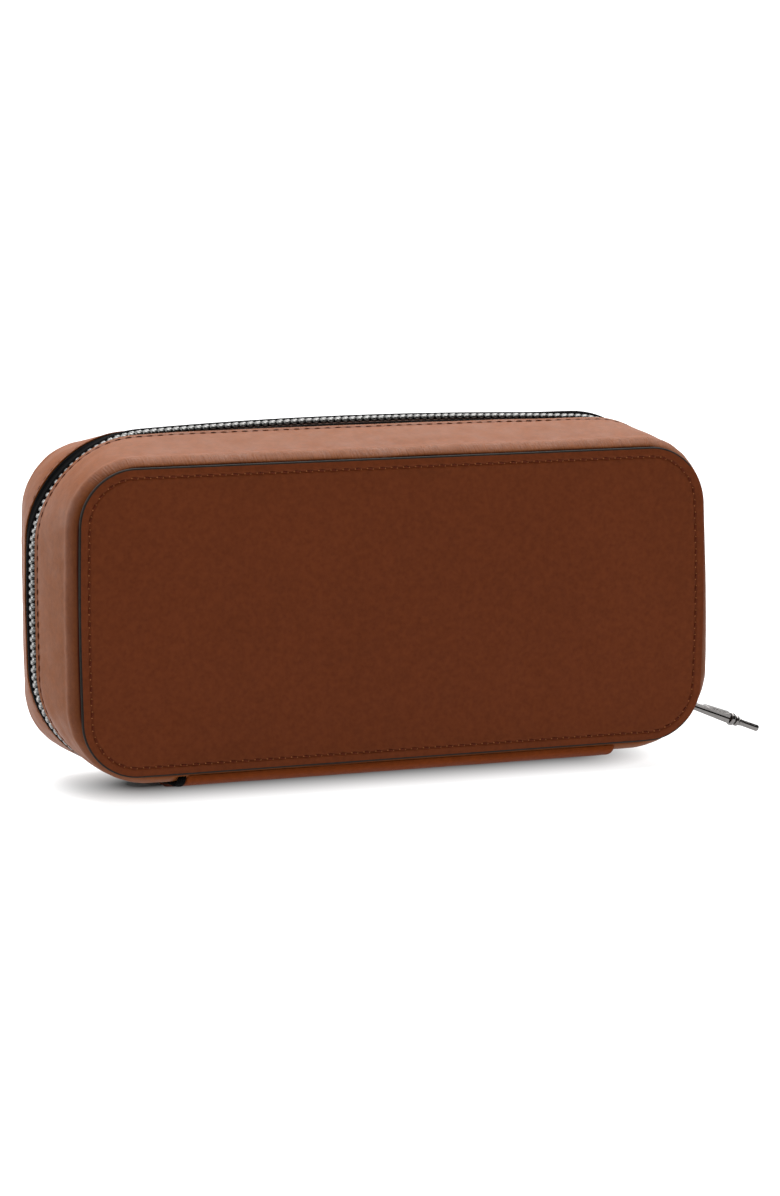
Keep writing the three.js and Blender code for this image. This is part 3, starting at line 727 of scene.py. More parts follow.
def make_tape(half):
    """Woven tape from under the leather edge to the root of the teeth, with a cord beside them."""
    profile = tape_profile(half)
    loop = [(*row, 0.0) for row in profile] + [(*row, TAPE_THICK) for row in reversed(profile)]
    rings, uvs = [], []
    for t, share, below_chain, below_edge, inner in loop:
        line = share * (CREST - CHAIN_OUT * below_chain)
        line = line + (1 - share) * (LEATHER_LINE - CHAIN_OUT * below_edge)
        swell = LID_TAPE_BULGE[:, None] * bell(t, 4.6, 1.2) if half is LID else 0
        rings.append(place(half, t, line + CHAIN_OUT * (swell - inner)))
        uvs.append(np.stack([ZIP_AT, np.full(ZIPPED, t + 10 * inner)], 1))
    faces = grid_faces(len(rings), ZIPPED, False, True)
    faces += [[k * ZIPPED + end for k in range(len(rings))] for end in (0, ZIPPED - 1)]
    corded = [int(half is BASE and row[0] <= CORD_REACH) for row in profile[1:]]
    corded += [0] * (len(rings) - len(corded))
    piece = mesh_piece(
        f"{half.name}_tape", np.concatenate(rings), faces, TAPE, np.concatenate(uvs),
        slots=([CORD], np.concatenate([np.repeat(corded, ZIPPED - 1), [0, 0]])),
    )
    fit_out(piece, half.name, "zip_tape", f"{half.name}_zip_tape")


def tooth():
    """One tooth: X along the zip, Y towards its mate, Z out of the case."""
    # (y, half width in x, low z, high z)
    sections = [(-2.7, 0.48, -1.9, -0.55), (-2.4, 0.66, -2.0, -0.16), (-1.4, 0.69, -2.0, 0.0)]
    sections += [(-0.35, 0.66, -2.0, -0.02), (0.25, 0.52, -1.9, -0.16), (0.7, 0.42, -1.7, -0.42)]
    rings = [
        np.array([(-w, y, low), (w, y, low), (w, y, high), (-w, y, high)])
        for y, w, low, high in sections
    ]
    points, faces = loft(rings)
    made = bmesh.new()
    corners = [made.verts.new(p) for p in points]
    for face in faces:
        made.faces.new([corners[i] for i in face])
    bmesh.ops.recalc_face_normals(made, faces=made.faces)
    sharp = [e for e in made.edges if e.calc_face_angle(0) > math.radians(40)]
    bmesh.ops.bevel(made, geom=sharp, offset=0.17, segments=2, affect="EDGES")
    made.verts.index_update()
    points = np.array([v.co for v in made.verts])
    faces = [[v.index for v in f.verts] for f in made.faces]
    made.free()
    return points, faces


def repeat(template, origins, axes):
    """Copies of a template mesh, each on its own three axes."""
    points, faces = template
    verts = np.einsum("vk,nkj->nvj", points, axes) + origins[:, None, :]
    count = len(points)
    copies = [[i + n * count for i in f] for n in range(len(origins)) for f in faces]
    return verts.reshape(-1, 3), copies


BARE_TAPE = 31.0  # length of tape without teeth between the slider and the spine


def make_teeth(half):
    offset = 0 if half is BASE else TOOTH_PITCH / 2
    distances = np.arange(1.2 + offset, ZIP_AT[-1] - BARE_TAPE, TOOTH_PITCH)
    points, along = walk(CREST, distances, False)
    count = len(points)
    flat = np.zeros(count)
    x_axes = np.stack([along[:, 0], flat, along[:, 1]], 1)
    z_axes = np.stack([-along[:, 1], flat, along[:, 0]], 1)
    y_axes = np.tile([0.0, -half.side, 0.0], (count, 1))
    rng = np.random.default_rng(5 + half.side)
    origins = place(half, 0.0, points) + rng.normal(0, 0.03, (count, 1)) * z_axes
    verts, faces = repeat(tooth(), origins, np.stack([x_axes, y_axes, z_axes], 1))
    piece = mesh_piece(f"{half.name}_teeth", verts, faces, NICKEL)
    fit_out(piece, half.name, "zip_metal", f"{half.name}_zip_teeth")


# ---- Hinge spine ----

SPINE_FLAT = 7.0
SPINE_END_Z = 3.95
SPINE_ENDS = (-68.2, 72.0)
SPINE_CORNER = 1.6
SPINE_DARK_BELOW = 9.0  # painted shade: the spine's colour is darker below this height, by this much at the ground
SPINE_SHADE = 0.8
FOLD = 5.2  # the hinge bends over this much each side of the zip plane
TAIL_END = -70.8
TAIL_SPLAY = 0.6  # how much wider the folded tape is at the ground


def hinge_piece(name, rings, material, node):
    """A strip across the hinge, baked in place at rest. Painted shade darkens its colour towards the
    ground.
    """
    verts, faces = loft(rings)
    shades = SPINE_SHADE * (1 - smoothstep(verts[:, 2] / SPINE_DARK_BELOW))
    piece = mesh_piece(name, verts, faces, material, attributes={"shade": shades})
    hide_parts(node)
    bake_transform(piece)


def strip_ring(x, y, under, above):
    """A ring across a strip at x, along its underside and back over its top."""
    z = np.concatenate([under, above[::-1]])
    return np.stack([np.full(len(z), x), np.concatenate([y, y[::-1]]), z], 1)


def spine_line(y):
    """Heights of the spine's underside and of the walls above it, at y."""
    half = BASE if y < 0 else LID
    shoulder, top = half.depth - ROLL_DEPTH, half.depth - ROLL_UNDER
    share = (abs(y) - shoulder) / (top - shoulder)
    rise = roll_inset(share) if share > 0 else 0.0
    slope = np.clip((abs(y) - SPINE_FLAT) / (shoulder - SPINE_FLAT), 0, 1)
    under = SPINE_END_Z * (0.85 * slope + 0.15 * slope**2) + 1.2 * rise
    share = np.clip((abs(y) - FOLD) / (shoulder - FOLD), 0, 1)
    wall = CENTRE_Z - (EDGE[1] + (BAND[1] - EDGE[1]) * share) / 2
    return under, wall + rise - 0.1


def make_spine():
    """The hinge leather. It wraps the rolls under both panels, and its ends are rounded over."""
    front, rear = (-(BASE.depth - PANEL_THICK + 0.1), LID.depth - PANEL_THICK + 0.1)
    corner = 1 - np.cos(arc_angles(0, 90, 12))
    middle = np.linspace(SPINE_ENDS[0] + SPINE_CORNER, SPINE_ENDS[1] - SPINE_CORNER, 81)[1:-1]
    left, right = SPINE_ENDS[0] + SPINE_CORNER * corner, SPINE_ENDS[1] - SPINE_CORNER * corner
    xs = np.concatenate([left, middle, right[::-1]])
    shares = np.sin(np.linspace(-1, 1, 91) * math.pi / 2)
    across = np.where(shares < 0, -shares * front, shares * rear)
    across = np.concatenate([across[across < -6], np.linspace(-5.6, 5.6, 23), across[across > 6]])
    lines = np.array([spine_line(y) for y in across])
    soft = 0.35
    rings = []
    for x in xs:
        end = min(x - SPINE_ENDS[0], SPINE_ENDS[1] - x)
        past = max(0.0, SPINE_CORNER - end)
        pull = SPINE_CORNER - math.sqrt(max(SPINE_CORNER**2 - past**2, 0))
        y = across * (1 - pull / 60)
        edge = np.minimum(np.minimum(across - front, rear - across), end + 0.02)
        rounding = soft - np.sqrt(np.clip(soft**2 - np.clip(soft - edge, 0, soft) ** 2, 0, None))
        lift = pull * 0.28 * smoothstep((np.abs(y) - 8) / 18)
        wobble = 0.05 * waves(x + 0.3 * y, 31, 9, 60) * np.clip(np.abs(y) / 20, 0, 1)
        above = lines[:, 1] - rounding
        under = np.minimum(lines[:, 0] + rounding + lift + wobble, above - 0.1)
        rings.append(strip_ring(x, y, under, above))
    hinge_piece("spine", rings, SPINE_LEATHER, "hinge_spine")


def make_tape_tail(half):
    """The end of the zip tape, folded down under the wall beside the spine."""
    y = half.side * np.linspace(1.3, half.depth - PANEL_THICK - 0.1, 40)
    ground, wall = np.array([spine_line(at) for at in y]).T
    ground = ground + (wall - 1.2 - ground) * (1 - smoothstep((np.abs(y) - half.depth + 9) / 3))
    rings = []
    for share in np.concatenate([[0, 0.03, 0.1], np.linspace(0.2, 0.8, 7), [0.9, 0.97, 1]]):
        thin = 1 - 0.3 * abs(2 * share - 1) ** 10
        x = TAIL_END + share * (SPINE_ENDS[0] - 0.3 - TAIL_END)
        sag = 0.1 * np.sin(0.9 * y + 5 * share)
        under = wall - 0.1 - (wall - ground) * thin + sag
        low = np.stack([np.full(len(y), x - TAIL_SPLAY * (1 - share)), y, np.maximum(under, 0.05)], 1)
        high = np.stack([np.full(len(y), x), y, wall - 0.05], 1)
        rings.append(np.concatenate([low, high[::-1]]))
    verts, faces = loft(rings)
    piece = mesh_piece(f"{half.name}_tape_end", verts, faces, TAPE, verts[:, :2])
    fit_out(piece, half.name, "zip_tape", f"{half.name}_tape_tail")


def make_inner_strip():
    """The suede strip that lines the hinge."""
    middle, size = middle_and_half("hinge_inner_strip")
    rings = []
    for x in np.linspace(-1, 1, 60):
        y = np.linspace(-1, 1, 33) * size[1]
        thick = size[2] * np.sqrt(np.clip(1 - np.abs(y / size[1]) ** 10, 0.02, 1))
        swell = 0.05 * waves(x * size[0] + y, 41, 6, 30)
        rings.append(strip_ring(x * size[0], y, middle[2] - thick, middle[2] + thick * (1 + swell)))
    hinge_piece("inner_strip", rings, SUEDE, "hinge_inner_strip")


# ---- Slider and puller ----

JOINT_PLACES = {j["name"]: np.array(j["pos_m"]) / MM for j in frame["joints"]}
PATH = JOINT_PLACES["slider_travel"]
PIVOT = JOINT_PLACES["puller_pivot"]
PLATE_LOW, PLATE_HIGH = 0.6, 1.7  # the outer plate, measured out from the crest of the teeth
BAIL_HOLE = 2.1
BAIL_THICK = 1.0
BAIL_LENGTH = 6.6
PATH_RADIUS = math.hypot(*(PIVOT - PATH)[[0, 2]]) - PLATE_HIGH - BAIL_HOLE / 2
BEARING = math.atan2(PIVOT[2] - PATH[2], PIVOT[0] - PATH[0])
PULLER_DROP = math.radians(21.2)


def on_path(points):
    """From (along the zip, y, out from the crest) at the slider's place."""
    s, y, r = np.asarray(points, float).T
    angle = BEARING + s / PATH_RADIUS
    reach = PATH_RADIUS + r
    return np.stack([PATH[0] + reach * np.cos(angle), y, PATH[2] + reach * np.sin(angle)], 1)


def sweep(path, half_flat, half_thick, radius, closed=False, side=(0, 1, 0)):
    """A rounded strip along a path. half_thick is in the path's plane. half_flat is along side."""
    path = np.asarray(path, float)
    section = rounded_box(half_flat, half_thick, radius, 5)
    if closed:
        tangents = np.roll(path, -1, 0) - np.roll(path, 1, 0)
    else:
        tangents = np.gradient(path, axis=0)
    rings = []
    for p, a in zip(path, tangents):
        normal = np.cross(side, a)
        normal /= np.linalg.norm(normal)
        rings.append(p + section[:, :1] * np.array(side) + section[:, 1:] * normal)
    if closed:
        return np.concatenate(rings), grid_faces(len(rings), len(section), True, True)
    return loft(rings)


def bent(corners, radius, steps=7, closed=False):
    """A path through corner points, with an arc at each inner corner."""
    corners = [np.asarray(c, float) for c in corners]
    count = len(corners)
    path = [] if closed else [corners[0]]
    for k in range(count) if closed else range(1, count - 1):
        before, here, after = corners[k - 1], corners[k], corners[(k + 1) % count]
        into = (here - before) / np.linalg.norm(here - before)
        onward = (after - here) / np.linalg.norm(after - here)
        for share in np.linspace(0, 1, steps):
            a, b = here - into * radius * (1 - share), here + onward * radius * share
            path.append(a * (1 - share) + b * share)
    if not closed:
        path.append(corners[-1])
    return np.array(path)


def slider_plate():
    """The domed outer plate, wide where the rows part, with lips along its sides."""
    lip, wall = -0.5, 0.6
    rings = []
    for s in np.linspace(-4.5, 4.5, 19):
        half = (3.5 + 0.8 * smoothstep((1.5 - s) / 4)) * (1 - 0.25 * abs(s / 4.5) ** 10)
        dome = 0.22 * (1 - (s / 4.5) ** 2)
        outer = [(-half, lip), (-half, 1.0), (-half + 0.25, 1.42)]
        outer += [(y, 1.5 + dome * (1 - (y / half) ** 2)) for y in np.linspace(-half + 0.8, half - 0.8, 7)]
        outer += [(half - 0.25, 1.42), (half, 1.0), (half, lip)]
        inside = half - wall
        inner = [(inside, lip), (inside, PLATE_LOW), (-inside, PLATE_LOW), (-inside, lip)]
        rings.append([(s, y, r) for y, r in outer + inner])
    return loft([on_path(r) for r in rings])


def slider_inner():
    rings = []
    for s in np.linspace(-4.5, 4.5, 13):
        section = rounded_box(2.8 * (1 - 0.3 * abs(s / 4.5) ** 8), 0.55, 0.4)
        rings.append(on_path([(s, y, -3.3 + r) for y, r in section]))
    return loft(rings)


def slider_post():
    section = rounded_box(1.5, 0.5, 0.45)
    return loft([on_path([(a - 2.5, b, r) for a, b in section]) for r in (-3.0, 0.8)])


def slider_bail():
    low, top = PLATE_HIGH - 0.3, PLATE_HIGH + BAIL_HOLE + BAIL_THICK / 2
    half = (BAIL_LENGTH - BAIL_THICK) / 2
    path = bent([(-half, 0, low), (-half, 0, top), (half, 0, top), (half, 0, low)], 1.1)
    verts, faces = sweep(path, 0.8, BAIL_THICK / 2, 0.35)
    return on_path(verts), faces


def on_puller(points):
    """From (along the puller, y, across it) to its place in the bail."""
    u, y, w = np.asarray(points, float).T
    cos, sin = math.cos(PULLER_DROP), math.sin(PULLER_DROP)
    return np.stack([PIVOT[0] + u * cos + w * sin, y, PIVOT[2] - u * sin + w * cos], 1)


def turned(profile, segments=40):
    """A turned solid on the puller's axis, from (u, radius) pairs."""
    angles = np.linspace(0, 2 * math.pi, segments, endpoint=False)
    return loft([on_puller([(u, r * math.cos(a), r * math.sin(a)) for a in angles]) for u, r in profile])


def puller_bar():
    """Two bars side by side with a groove between them. The rear one rises from half way along."""
    bevel, groove, deep = 0.42, 0.26, 0.55
    start, end, width = 5.4, 23.3, 1.6
    first, last = (start, start + 0.15, start + 0.4), (end - 0.15, end)
    rings = []
    for u in np.concatenate([first, np.linspace(6.2, 22.9, 26), last]):
        share = (u - start) / (end - start)
        half = 1.05 + 0.65 * share
        ends = 1 - 0.3 * bell(u, start, 0.25) - 0.12 * bell(u, end, 0.15)
        rear = half + 0.5 * smoothstep((u - 13) / 1.5)
        w = width * ends
        front = [(w - bevel, half), (w, half - bevel), (w, groove), (w - deep, 0), (w, -groove)]
        front += [(w, -half + bevel), (w - bevel, -half)]
        back = [(w - bevel, -half), (w, -half + bevel), (w, -groove), (w - deep, 0), (w, groove)]
        back += [(w, rear - bevel), (w - bevel, rear)]
        section = [(-y, z) for y, z in front] + back
        rings.append(on_puller([(u, y, z * ends) for y, z in section]))
    return loft(rings)


COLLARS = ((23.6, 25.0, 2.1), (25.6, 26.8, 1.75))


def collar_profile(start, end, radius):
    ease = 0.35
    rows = [(start, radius - ease)]
    for angle in arc_angles(20, 90, 5):
        rows.append((start + ease * (1 - math.cos(angle)), radius - ease * (1 - math.sin(angle))))
    return rows + [(start + end - u, r) for u, r in reversed(rows)]


def tip_profile():
    rows = [(27.0, 1.15), (27.2, 1.28), (27.8, 1.2), (28.3, 1.08), (29.0, 1.05), (31.0, 1.07), (33.0, 1.1)]
    return rows + [(34.2, 1.13), (34.45, 1.1), (34.6, 0.98), (34.6, 0.5), (34.48, 0.42)]


def make_slider():
    solids = merged([slider_plate(), slider_inner(), slider_post(), slider_bail()])
    fit_out(mesh_piece("slider", *solids, GUNMETAL, sharp=35), "slider", "gunmetal", "slider_body")
    loop = bent([(0, -1.65, 0), (5.05, -1.65, 0), (5.05, 1.65, 0), (0, 1.65, 0)], 0.8, closed=True)
    link = sweep(loop, 0.5, 0.5, 0.48, closed=True, side=(0, 0, 1))
    pieces = {"puller_link": ("link", (on_puller(link[0]), link[1]))}
    pieces["puller_bar"] = ("bar", puller_bar())
    for k, collar in enumerate(COLLARS, 1):
        pieces[f"puller_collar_{k}"] = (f"collar_{k}", turned(collar_profile(*collar)))
    pieces["puller_tip"] = ("tip", turned(tip_profile()))
    for node, (name, solid) in pieces.items():
        fit_out(mesh_piece(name, *solid, GUNMETAL, sharp=35), "puller", "gunmetal", node)
    join = turned([(23.1, 1.1), (25.7, 1.1), (27.3, 1.05)])
    fit_out(mesh_piece("puller_core", *join, GUNMETAL), "puller", "gunmetal")


# ---- Linings ----

LINING = 1.0
LINING_INSET = 3.8
LIP = 7.7  # top of the lining's fold over the board's rim, and its depth and inset
LIP_DEPTH = 1.7
LIP_INSET = 2.7


def floor_depth(half):
    return half.depth - PANEL_THICK - 0.3 - 1.2 - 0.3 - 2.0 - 0.3 - LINING


def make_lining(half):
    floor = floor_depth(half)
    rows = [(floor + LINING, 9), (floor + LINING, LINING_INSET), (LIP, LINING_INSET), (LIP, LIP_INSET)]
    crown = (LIP_INSET + LINING_INSET + LINING) / 2
    half_lip = crown - LIP_INSET
    for angle in arc_angles(0, 180, 9):
        rows.append((LIP - 0.7 - (LIP_DEPTH - 0.7) * math.sin(angle), crown - half_lip * math.cos(angle)))
    inner = LINING_INSET + LINING
    for t in np.linspace(LIP, floor - 2.6, 12):
        rows.append((t, inner))
    for angle in arc_angles(12, 90, 6):
        rows.append((floor - 2.4 * (1 - math.sin(angle)), inner + 2.4 * (1 - math.cos(angle))))
    rows.append((floor, 9))
    rings = []
    for k, (t, inset) in enumerate(rows):
        line = outline(grow(wall_spec(half, min(t, half.depth)), -inset))
        at = lengths_of(line)[0]
        puff = 0.1 * waves(at + 5 * t, 51 + half.side, 8, 60) * (k > 3)
        rings.append(place(half, t, line + normals_of(line) * puff[:, None]))
    for scale in (0.85, 0.65, 0.4, 0.15):
        soft = 0.12 * waves(rings[-1][:, 0] * scale + 2 * rings[-1][:, 2] * scale, 61, 15, 70)
        rings.append(place(half, floor + 0.1 + soft, line * scale))
    verts, faces = loft(rings)
    piece = mesh_piece(f"{half.name}_suede", verts, faces, SUEDE)
    fit_out(piece, half.name, "suede", f"{half.name}_lining")


# ---- Padding ----

SIM_SCALE = 10  # cloth is blown up at ten times its size, where the solver behaves
SIM_FRAMES = 20


def blow_up(name, points, faces, voxel, cap, held, seed):
    """A stuffed form: the shape is remeshed, swells as cloth round its filling, and is smoothed once.

    cap is the furthest that a point may move. held says which points stay put, from their places at rest.
    """
    piece = mesh_piece(name, np.asarray(points) * SIM_SCALE, faces, SUEDE)
    bpy.context.view_layer.objects.active = piece
    remesh = piece.modifiers.new("remesh", "REMESH")
    remesh.mode = "VOXEL"
    remesh.voxel_size = voxel * SIM_SCALE * MM
    apply_modifier(piece, remesh)
    rest = vertices_of(piece)
    rng = np.random.default_rng(seed)
    write_vertices(piece, rest + rng.normal(0, 0.02 * SIM_SCALE * MM, rest.shape))
    pinned = piece.vertex_groups.new(name="held")
    pinned.add(np.flatnonzero(held(rest / SIM_SCALE / MM)).tolist(), 1.0, "REPLACE")
    cloth = piece.modifiers.new("cloth", "CLOTH")
    settings = cloth.settings
    settings.use_pressure = True
    settings.uniform_pressure_force = 4.0
    settings.effector_weights.gravity = 0
    settings.vertex_group_mass = "held"
    settings.tension_stiffness = settings.compression_stiffness = 12
    settings.shrink_min = -0.05
    cloth.point_cache.frame_end = SIM_FRAMES
    for step in range(1, SIM_FRAMES + 1):
        bpy.context.scene.frame_set(step)
    moved = vertices_of(piece, evaluated=True) - rest
    bpy.context.scene.frame_set(1)
    piece.modifiers.remove(cloth)
    distance = np.linalg.norm(moved, axis=1, keepdims=True)
    limit = cap * SIM_SCALE * MM
    write_vertices(piece, rest + moved * np.minimum(1, limit / np.maximum(distance, 1e-9)))
    smooth = piece.modifiers.new("smooth", "SUBSURF")
    smooth.levels = smooth.render_levels = 1
    apply_modifier(piece, smooth)
    write_vertices(piece, vertices_of(piece) / SIM_SCALE)
    piece.data.polygons.foreach_set("use_smooth", np.ones(len(piece.data.polygons), bool))
    return piece


def apply_modifier(piece, modifier):
    with bpy.context.temp_override(object=piece, active_object=piece, selected_objects=[piece]):
        bpy.ops.object.modifier_apply(modifier=modifier.name)


def vertices_of(piece, evaluated=False):
    source = piece
    if evaluated:
        source = piece.evaluated_get(bpy.context.evaluated_depsgraph_get())
    co = np.zeros(len(source.data.vertices) * 3, np.float32)
    source.data.vertices.foreach_get("co", co)
    return co.reshape(-1, 3).astype(float)


def write_vertices(piece, points):
    piece.data.vertices.foreach_set("co", np.asarray(points, np.float32).ravel())
    piece.data.update()


ROLL_START = 0.95  # each roll starts at this share of its place's size, and swells


def make_ring_roll(number):
    node = f"ring_roll_{number}"
    middle, size = middle_and_half(node)
    rings = []
    for x in np.linspace(-1, 1, 15):
        shrink = ROLL_START * (1 - 0.28 * abs(x) ** 6)
        section = rounded_box(size[1] * shrink, size[2] * shrink, min(size[1:]) * 0.86 * shrink, 6)
        rings.append(middle + np.column_stack([np.full(len(section), x * size[0] * 0.985), section]))
    verts, faces = loft(rings)
    back = middle[1] - size[1]
    roll = blow_up(
        f"roll_{number}", verts, faces, voxel=0.95, cap=0.5, seed=number,
        held=lambda p: np.abs(p[:, 1] - back) < 2.0,
    )
    fit_out(roll, "base", "suede", node)


def wrapped_board(name, corners, thickness, material, puff=0.12, seed=3):
    """A board wrapped in hide: a slab on four corners, with rounded edges and soft faces."""
    corners = [np.asarray(c, float) for c in corners]
    a, b, _, d = corners
    normal = np.cross(b - a, d - a)
    normal /= np.linalg.norm(normal)
    u = (1 - np.cos(np.linspace(0, math.pi, 41))) / 2
    v = (1 - np.cos(np.linspace(0, math.pi, 21))) / 2
    us, vs = np.meshgrid(u, v)
    shares = ((1 - us) * (1 - vs), us * (1 - vs), us * vs, (1 - us) * vs)
    base = sum(corner * share[..., None] for corner, share in zip(corners, shares))
    width, height = np.linalg.norm(b - a), np.linalg.norm(d - a)
    edge = np.minimum(np.minimum(us, 1 - us) * width, np.minimum(vs, 1 - vs) * height)
    radius = thickness / 2
    profile = np.sqrt(np.clip(1 - np.clip(1 - edge / radius, 0, 1) ** 2, 0, 1)) * radius
    soft = puff * waves(us * width + 0.7 * vs * height, seed, 6, 50) * np.clip(edge / 3, 0, 1)
    top = base + normal * (profile - puff * 0.5 + soft * 0.5)[..., None]
    bottom = base - normal * (profile - puff * 0.5)[..., None]
    count = us.size
    at = np.arange(count).reshape(us.shape)
    faces = grid_faces(*us.shape, False, False) + grid_faces(*us.shape, False, False, count)
    rim = [*at[0, :-1], *at[:-1, -1], *at[-1, :0:-1], *at[:0:-1, 0]]
    faces += [[p, p + count, q + count, q] for p, q in zip(rim, rim[1:] + rim[:1])]
    verts = np.concatenate([top.reshape(-1, 3), bottom.reshape(-1, 3)])
    return mesh_piece(name, verts, faces, material, attributes={"shade": np.zeros(len(verts))})


DIVIDER_TOP = 9.0
DIVIDER_FLOOR = 25.8


def divider_limits(t):
    """Lowest, highest and side reach inside the base lining, at distance t."""
    spec = wall_spec(BASE, t)
    inset = LINING_INSET + LINING + 0.35
    return CENTRE_Z - spec[1] / 2 + inset, CENTRE_Z + spec[1] / 2 - inset, spec[0] / 2 + spec[4] - inset


def make_dividers():
    low_floor, high_floor, side_floor = divider_limits(DIVIDER_FLOOR)
    low_top, high_top, side_top = divider_limits(DIVIDER_TOP)
    for name in ("long", "short"):
        low, high = box_of(f"divider_{name}")
        x = (low[0] + high[0]) / 2
        tops = (high_floor, high_top) if name == "long" else (high[2], high[2])
        corners = [
            (x, -DIVIDER_FLOOR, low_floor), (x, -DIVIDER_TOP, low_top),
            (x, -DIVIDER_TOP, tops[1]), (x, -DIVIDER_FLOOR, tops[0]),
        ]
        board = wrapped_board(f"{name}_divider", corners, high[0] - low[0], SUEDE)
        fit_out(board, "base", "suede", f"divider_{name}")
    low, high = box_of("divider_cross")
    z = (low[2] + high[2]) / 2
    corners = [(low[0], -DIVIDER_FLOOR, z), (side_floor, -DIVIDER_FLOOR, z), (side_top, -DIVIDER_TOP, z)]
    corners.append((low[0], -DIVIDER_TOP, z))
    board = wrapped_board("cross_divider", corners, high[2] - low[2], SUEDE, seed=4)
    fit_out(board, "base", "suede", "divider_cross")


# ---- Lid fittings ----


def make_necklace_tab():
    low, high = box_of("necklace_tab")
    y = (low[1] + high[1]) / 2
    corners = [(low[0], y, low[2]), (high[0], y, low[2]), (high[0], y, high[2]), (low[0], y, high[2])]
    tab = wrapped_board("tab", corners, high[1] - low[1], PANEL_LEATHER, puff=0.06)
    fit_out(tab, "lid", "wall_leather", "necklace_tab")
    edge = 1.8
    spec = np.array([high[0] - low[0] - 2 * edge, high[2] - low[2] - 2 * edge, 1.0, 1.0, 0, 0, 0])
    line = outline(spec) + [0, (low[2] + high[2]) / 2 - CENTRE_Z]
    sew(
        "tab_stitches", LID, low[1], line, WALL_PITCH, PANEL_THREAD, "wall_leather",
        facing=-1, radius=0.26, rise=0.14,
    )


def make_hook(number):
    """A hook bent from flat bar, riveted to the tab."""
    node = f"necklace_hook_{number}"
    low, high = box_of(node)
    x, half_wire = (low[0] + high[0]) / 2, 0.7
    root, tip = high[1] - half_wire, low[1] + half_wire
    bar = low[2] + 2 + half_wire
    out = bent([(x, root, high[2]), (x, root, low[2])], 1)
    plate = sweep(out, (high[0] - low[0]) / 2, half_wire, 0.4, side=(1, 0, 0))
    path = bent([(x, root, bar), (x, tip, bar), (x, tip, high[2])], 1.6)
    arm = sweep(path, (high[0] - low[0]) / 2, half_wire, 0.45, side=(1, 0, 0))
    fit_out(mesh_piece(f"hook_{number}", *merged([plate, arm]), NICKEL, sharp=50), "lid", "zip_metal", node)


POCKET_GATHERS = 0.55
POCKET_SHEET = 0.7


def make_pocket():
    """A gathered suede pocket: its sides and bottom are sewn to the lid's floor, and its top is elastic."""
    low, high = box_of("lid_pocket")
    middle_x, half = (low[0] + high[0]) / 2, (high[0] - low[0]) / 2
    xs = half * np.sin(np.linspace(-math.pi / 2, math.pi / 2, 221))
    zs = low[2] + (high[2] - 1.2 - low[2]) * (1 - np.cos(np.linspace(0, math.pi / 2, 40)))
    x, z = np.meshgrid(xs, zs)
    side = np.sqrt(np.clip(1 - (np.abs(x) / half) ** 14, 0, 1))
    rise = (z - low[2]) / (high[2] - low[2])
    bottom = np.sqrt(np.clip(1 - (1 - np.clip(rise / 0.3, 0, 1)) ** 2, 0, 1))
    gathers = POCKET_GATHERS * waves(x, 71, 2.6, 5.5, 6) * smoothstep(rise * 1.3)
    sag = 0.8 * np.sin(math.pi * rise) * np.cos(math.pi * x / half / 2)
    deep = (high[1] - low[1] - 2.0) * side * bottom
    y = high[1] - POCKET_SHEET - deep - (gathers + sag) * np.clip(deep / 4, 0, 1)
    verts = np.stack([x + middle_x, y, z], -1).reshape(-1, 3)
    pocket = mesh_piece("pocket", verts, grid_faces(len(zs), len(xs), False, False), SUEDE)
    thickness = pocket.modifiers.new("thickness", "SOLIDIFY")
    thickness.thickness = POCKET_SHEET * MM
    thickness.offset = 0
    fit_out(pocket, "lid", "suede", "lid_pocket")
    top = np.stack([xs + middle_x, y[-1], np.full(len(xs), high[2] - 0.9)], 1)[6:-6]
    hem = mesh_piece("pocket_hem", *sweep(top, 1.5, 0.75, 0.6, side=(0, 0, 1)), SUEDE)
    fit_out(hem, "lid", "suede")


# ---- Stage ----

FOOT_MIDDLE, FOOT_HALF = -0.004, 0.070  # the strip that the case stands on, in metres
GLOW_FROM, GLOW_TO = 0.004, 0.030  # painted contact shadow: the table's glow starts and is full this far from that strip
GLOW = 0.93
TOP_WATTS = 64
LEFT_WATTS = 9
FILL_LIGHT = 0.05


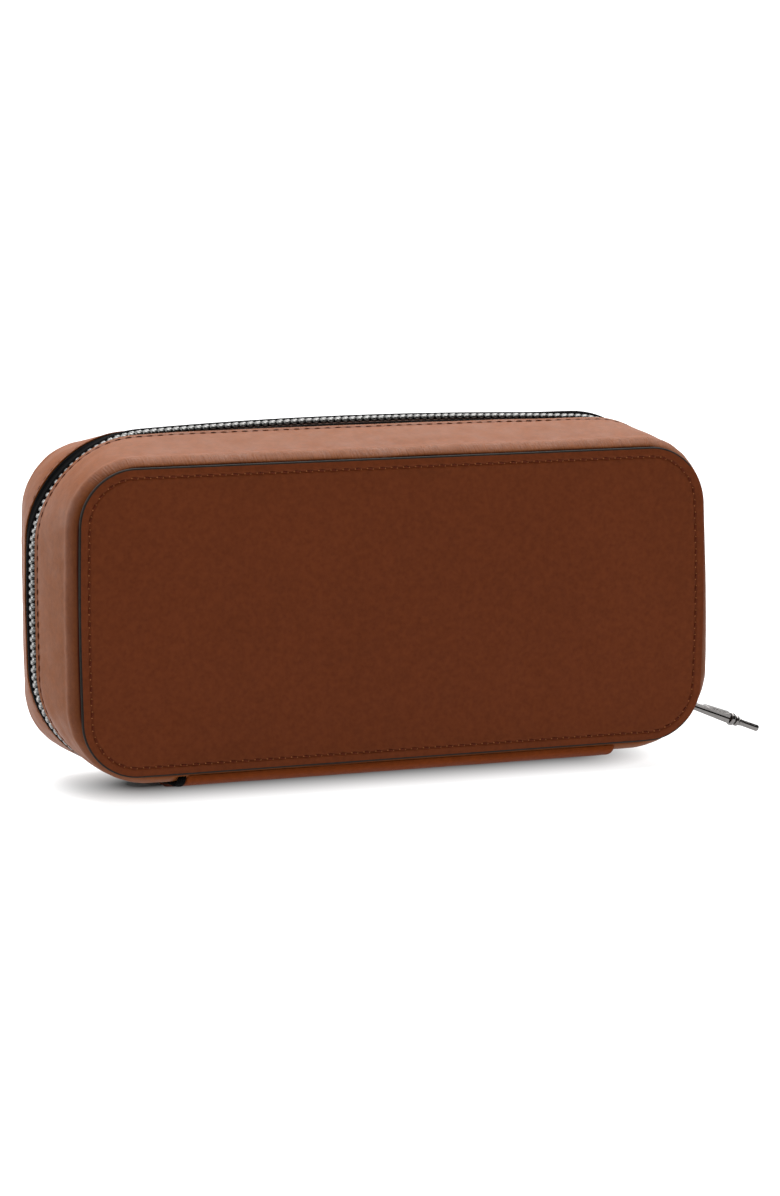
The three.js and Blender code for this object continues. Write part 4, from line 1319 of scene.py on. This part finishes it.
def make_floor():
    """A pale table that glows as if lit from below, curving up into a backdrop. Its glow fades out near the
    case: a painted contact shadow.
    """
    size, curve_start, radius, height = 8.0, 1.6, 0.6, 2.5
    profile = [(-size, 0.0), (curve_start, 0.0)]
    for angle in arc_angles(6, 90, 15):
        profile.append((curve_start + radius * math.sin(angle), radius * (1 - math.cos(angle))))
    profile.append((curve_start + radius, height))
    points = [(x, y, z) for y, z in profile for x in (-size, size)]
    faces = [(2 * k, 2 * k + 1, 2 * k + 3, 2 * k + 2) for k in range(len(profile) - 1)]
    s = Shader("pale_table", (0.25, 0.25, 0.25), 0.9, Specular_IOR_Level=0.1, Emission_Color=(1, 1, 1, 1))
    s.set("Base Color", s.blend(s.noise(3, 2), (0.24, 0.24, 0.24), (0.26, 0.26, 0.26)))
    place_at = s.node("ShaderNodeSeparateXYZ")
    s.link(s.coordinates, place_at.inputs[0])
    beside = s.math("ABSOLUTE", s.math("SUBTRACT", place_at.outputs["X"], FOOT_MIDDLE), 0)
    beyond = s.math("MAXIMUM", s.math("SUBTRACT", beside, FOOT_HALF), 0)
    across = s.math("ABSOLUTE", place_at.outputs["Y"], 0)
    squares = s.math("ADD", s.math("POWER", beyond, 2), s.math("POWER", across, 2))
    # Painted contact shadow: no glow within GLOW_FROM of the case's strip, full glow beyond GLOW_TO.
    s.set("Emission Strength", s.ramp(s.math("SQRT", squares, 0), GLOW_FROM, GLOW_TO, 0.0, GLOW))
    mesh_piece("table", np.array(points) / MM, faces, s.material)


def area_light(name, location, aim, size, power):
    data = bpy.data.lights.new(name, "AREA")
    data.shape = "RECTANGLE"
    data.size, data.size_y = size
    data.energy = power
    light = bpy.data.objects.new(name, data)
    bpy.context.scene.collection.objects.link(light)
    light.location = location
    light.rotation_mode = "QUATERNION"
    light.rotation_quaternion = (Vector(aim) - Vector(location)).to_track_quat("-Z", "Y")


def make_lights():
    world = bpy.data.worlds.new("studio")
    bpy.context.scene.world = world
    world.use_nodes = True
    background = world.node_tree.nodes["Background"]
    background.inputs["Color"].default_value = (1, 1, 1, 1)
    background.inputs["Strength"].default_value = FILL_LIGHT
    area_light("top_softbox", (0.3, 0.6, 1.2), (0.3, 0.6, 0), (2.0, 1.7), TOP_WATTS)
    area_light("left_softbox", (-1.0, 0.8, 0.35), (0, 0, 0.05), (0.8, 0.6), LEFT_WATTS)
    bpy.context.scene.view_settings.view_transform = "Standard"


# ---- The whole case ----

for case_half in (BASE, LID):
    make_gusset(case_half)
    make_wall_stitches(case_half)
    make_panel(case_half)
    make_panel_stitches(case_half)
    make_tape(case_half)
    make_teeth(case_half)
    make_tape_tail(case_half)
    make_lining(case_half)
    board = frame["nodes"][f"{case_half.name}_board"]
    board.material_slots[0].material = BOARD
make_spine()
make_inner_strip()
make_slider()
for roll_number in range(1, 6):
    make_ring_roll(roll_number)
make_dividers()
make_necklace_tab()
for hook_number in range(1, 6):
    make_hook(hook_number)
make_pocket()
make_floor()
make_lights()
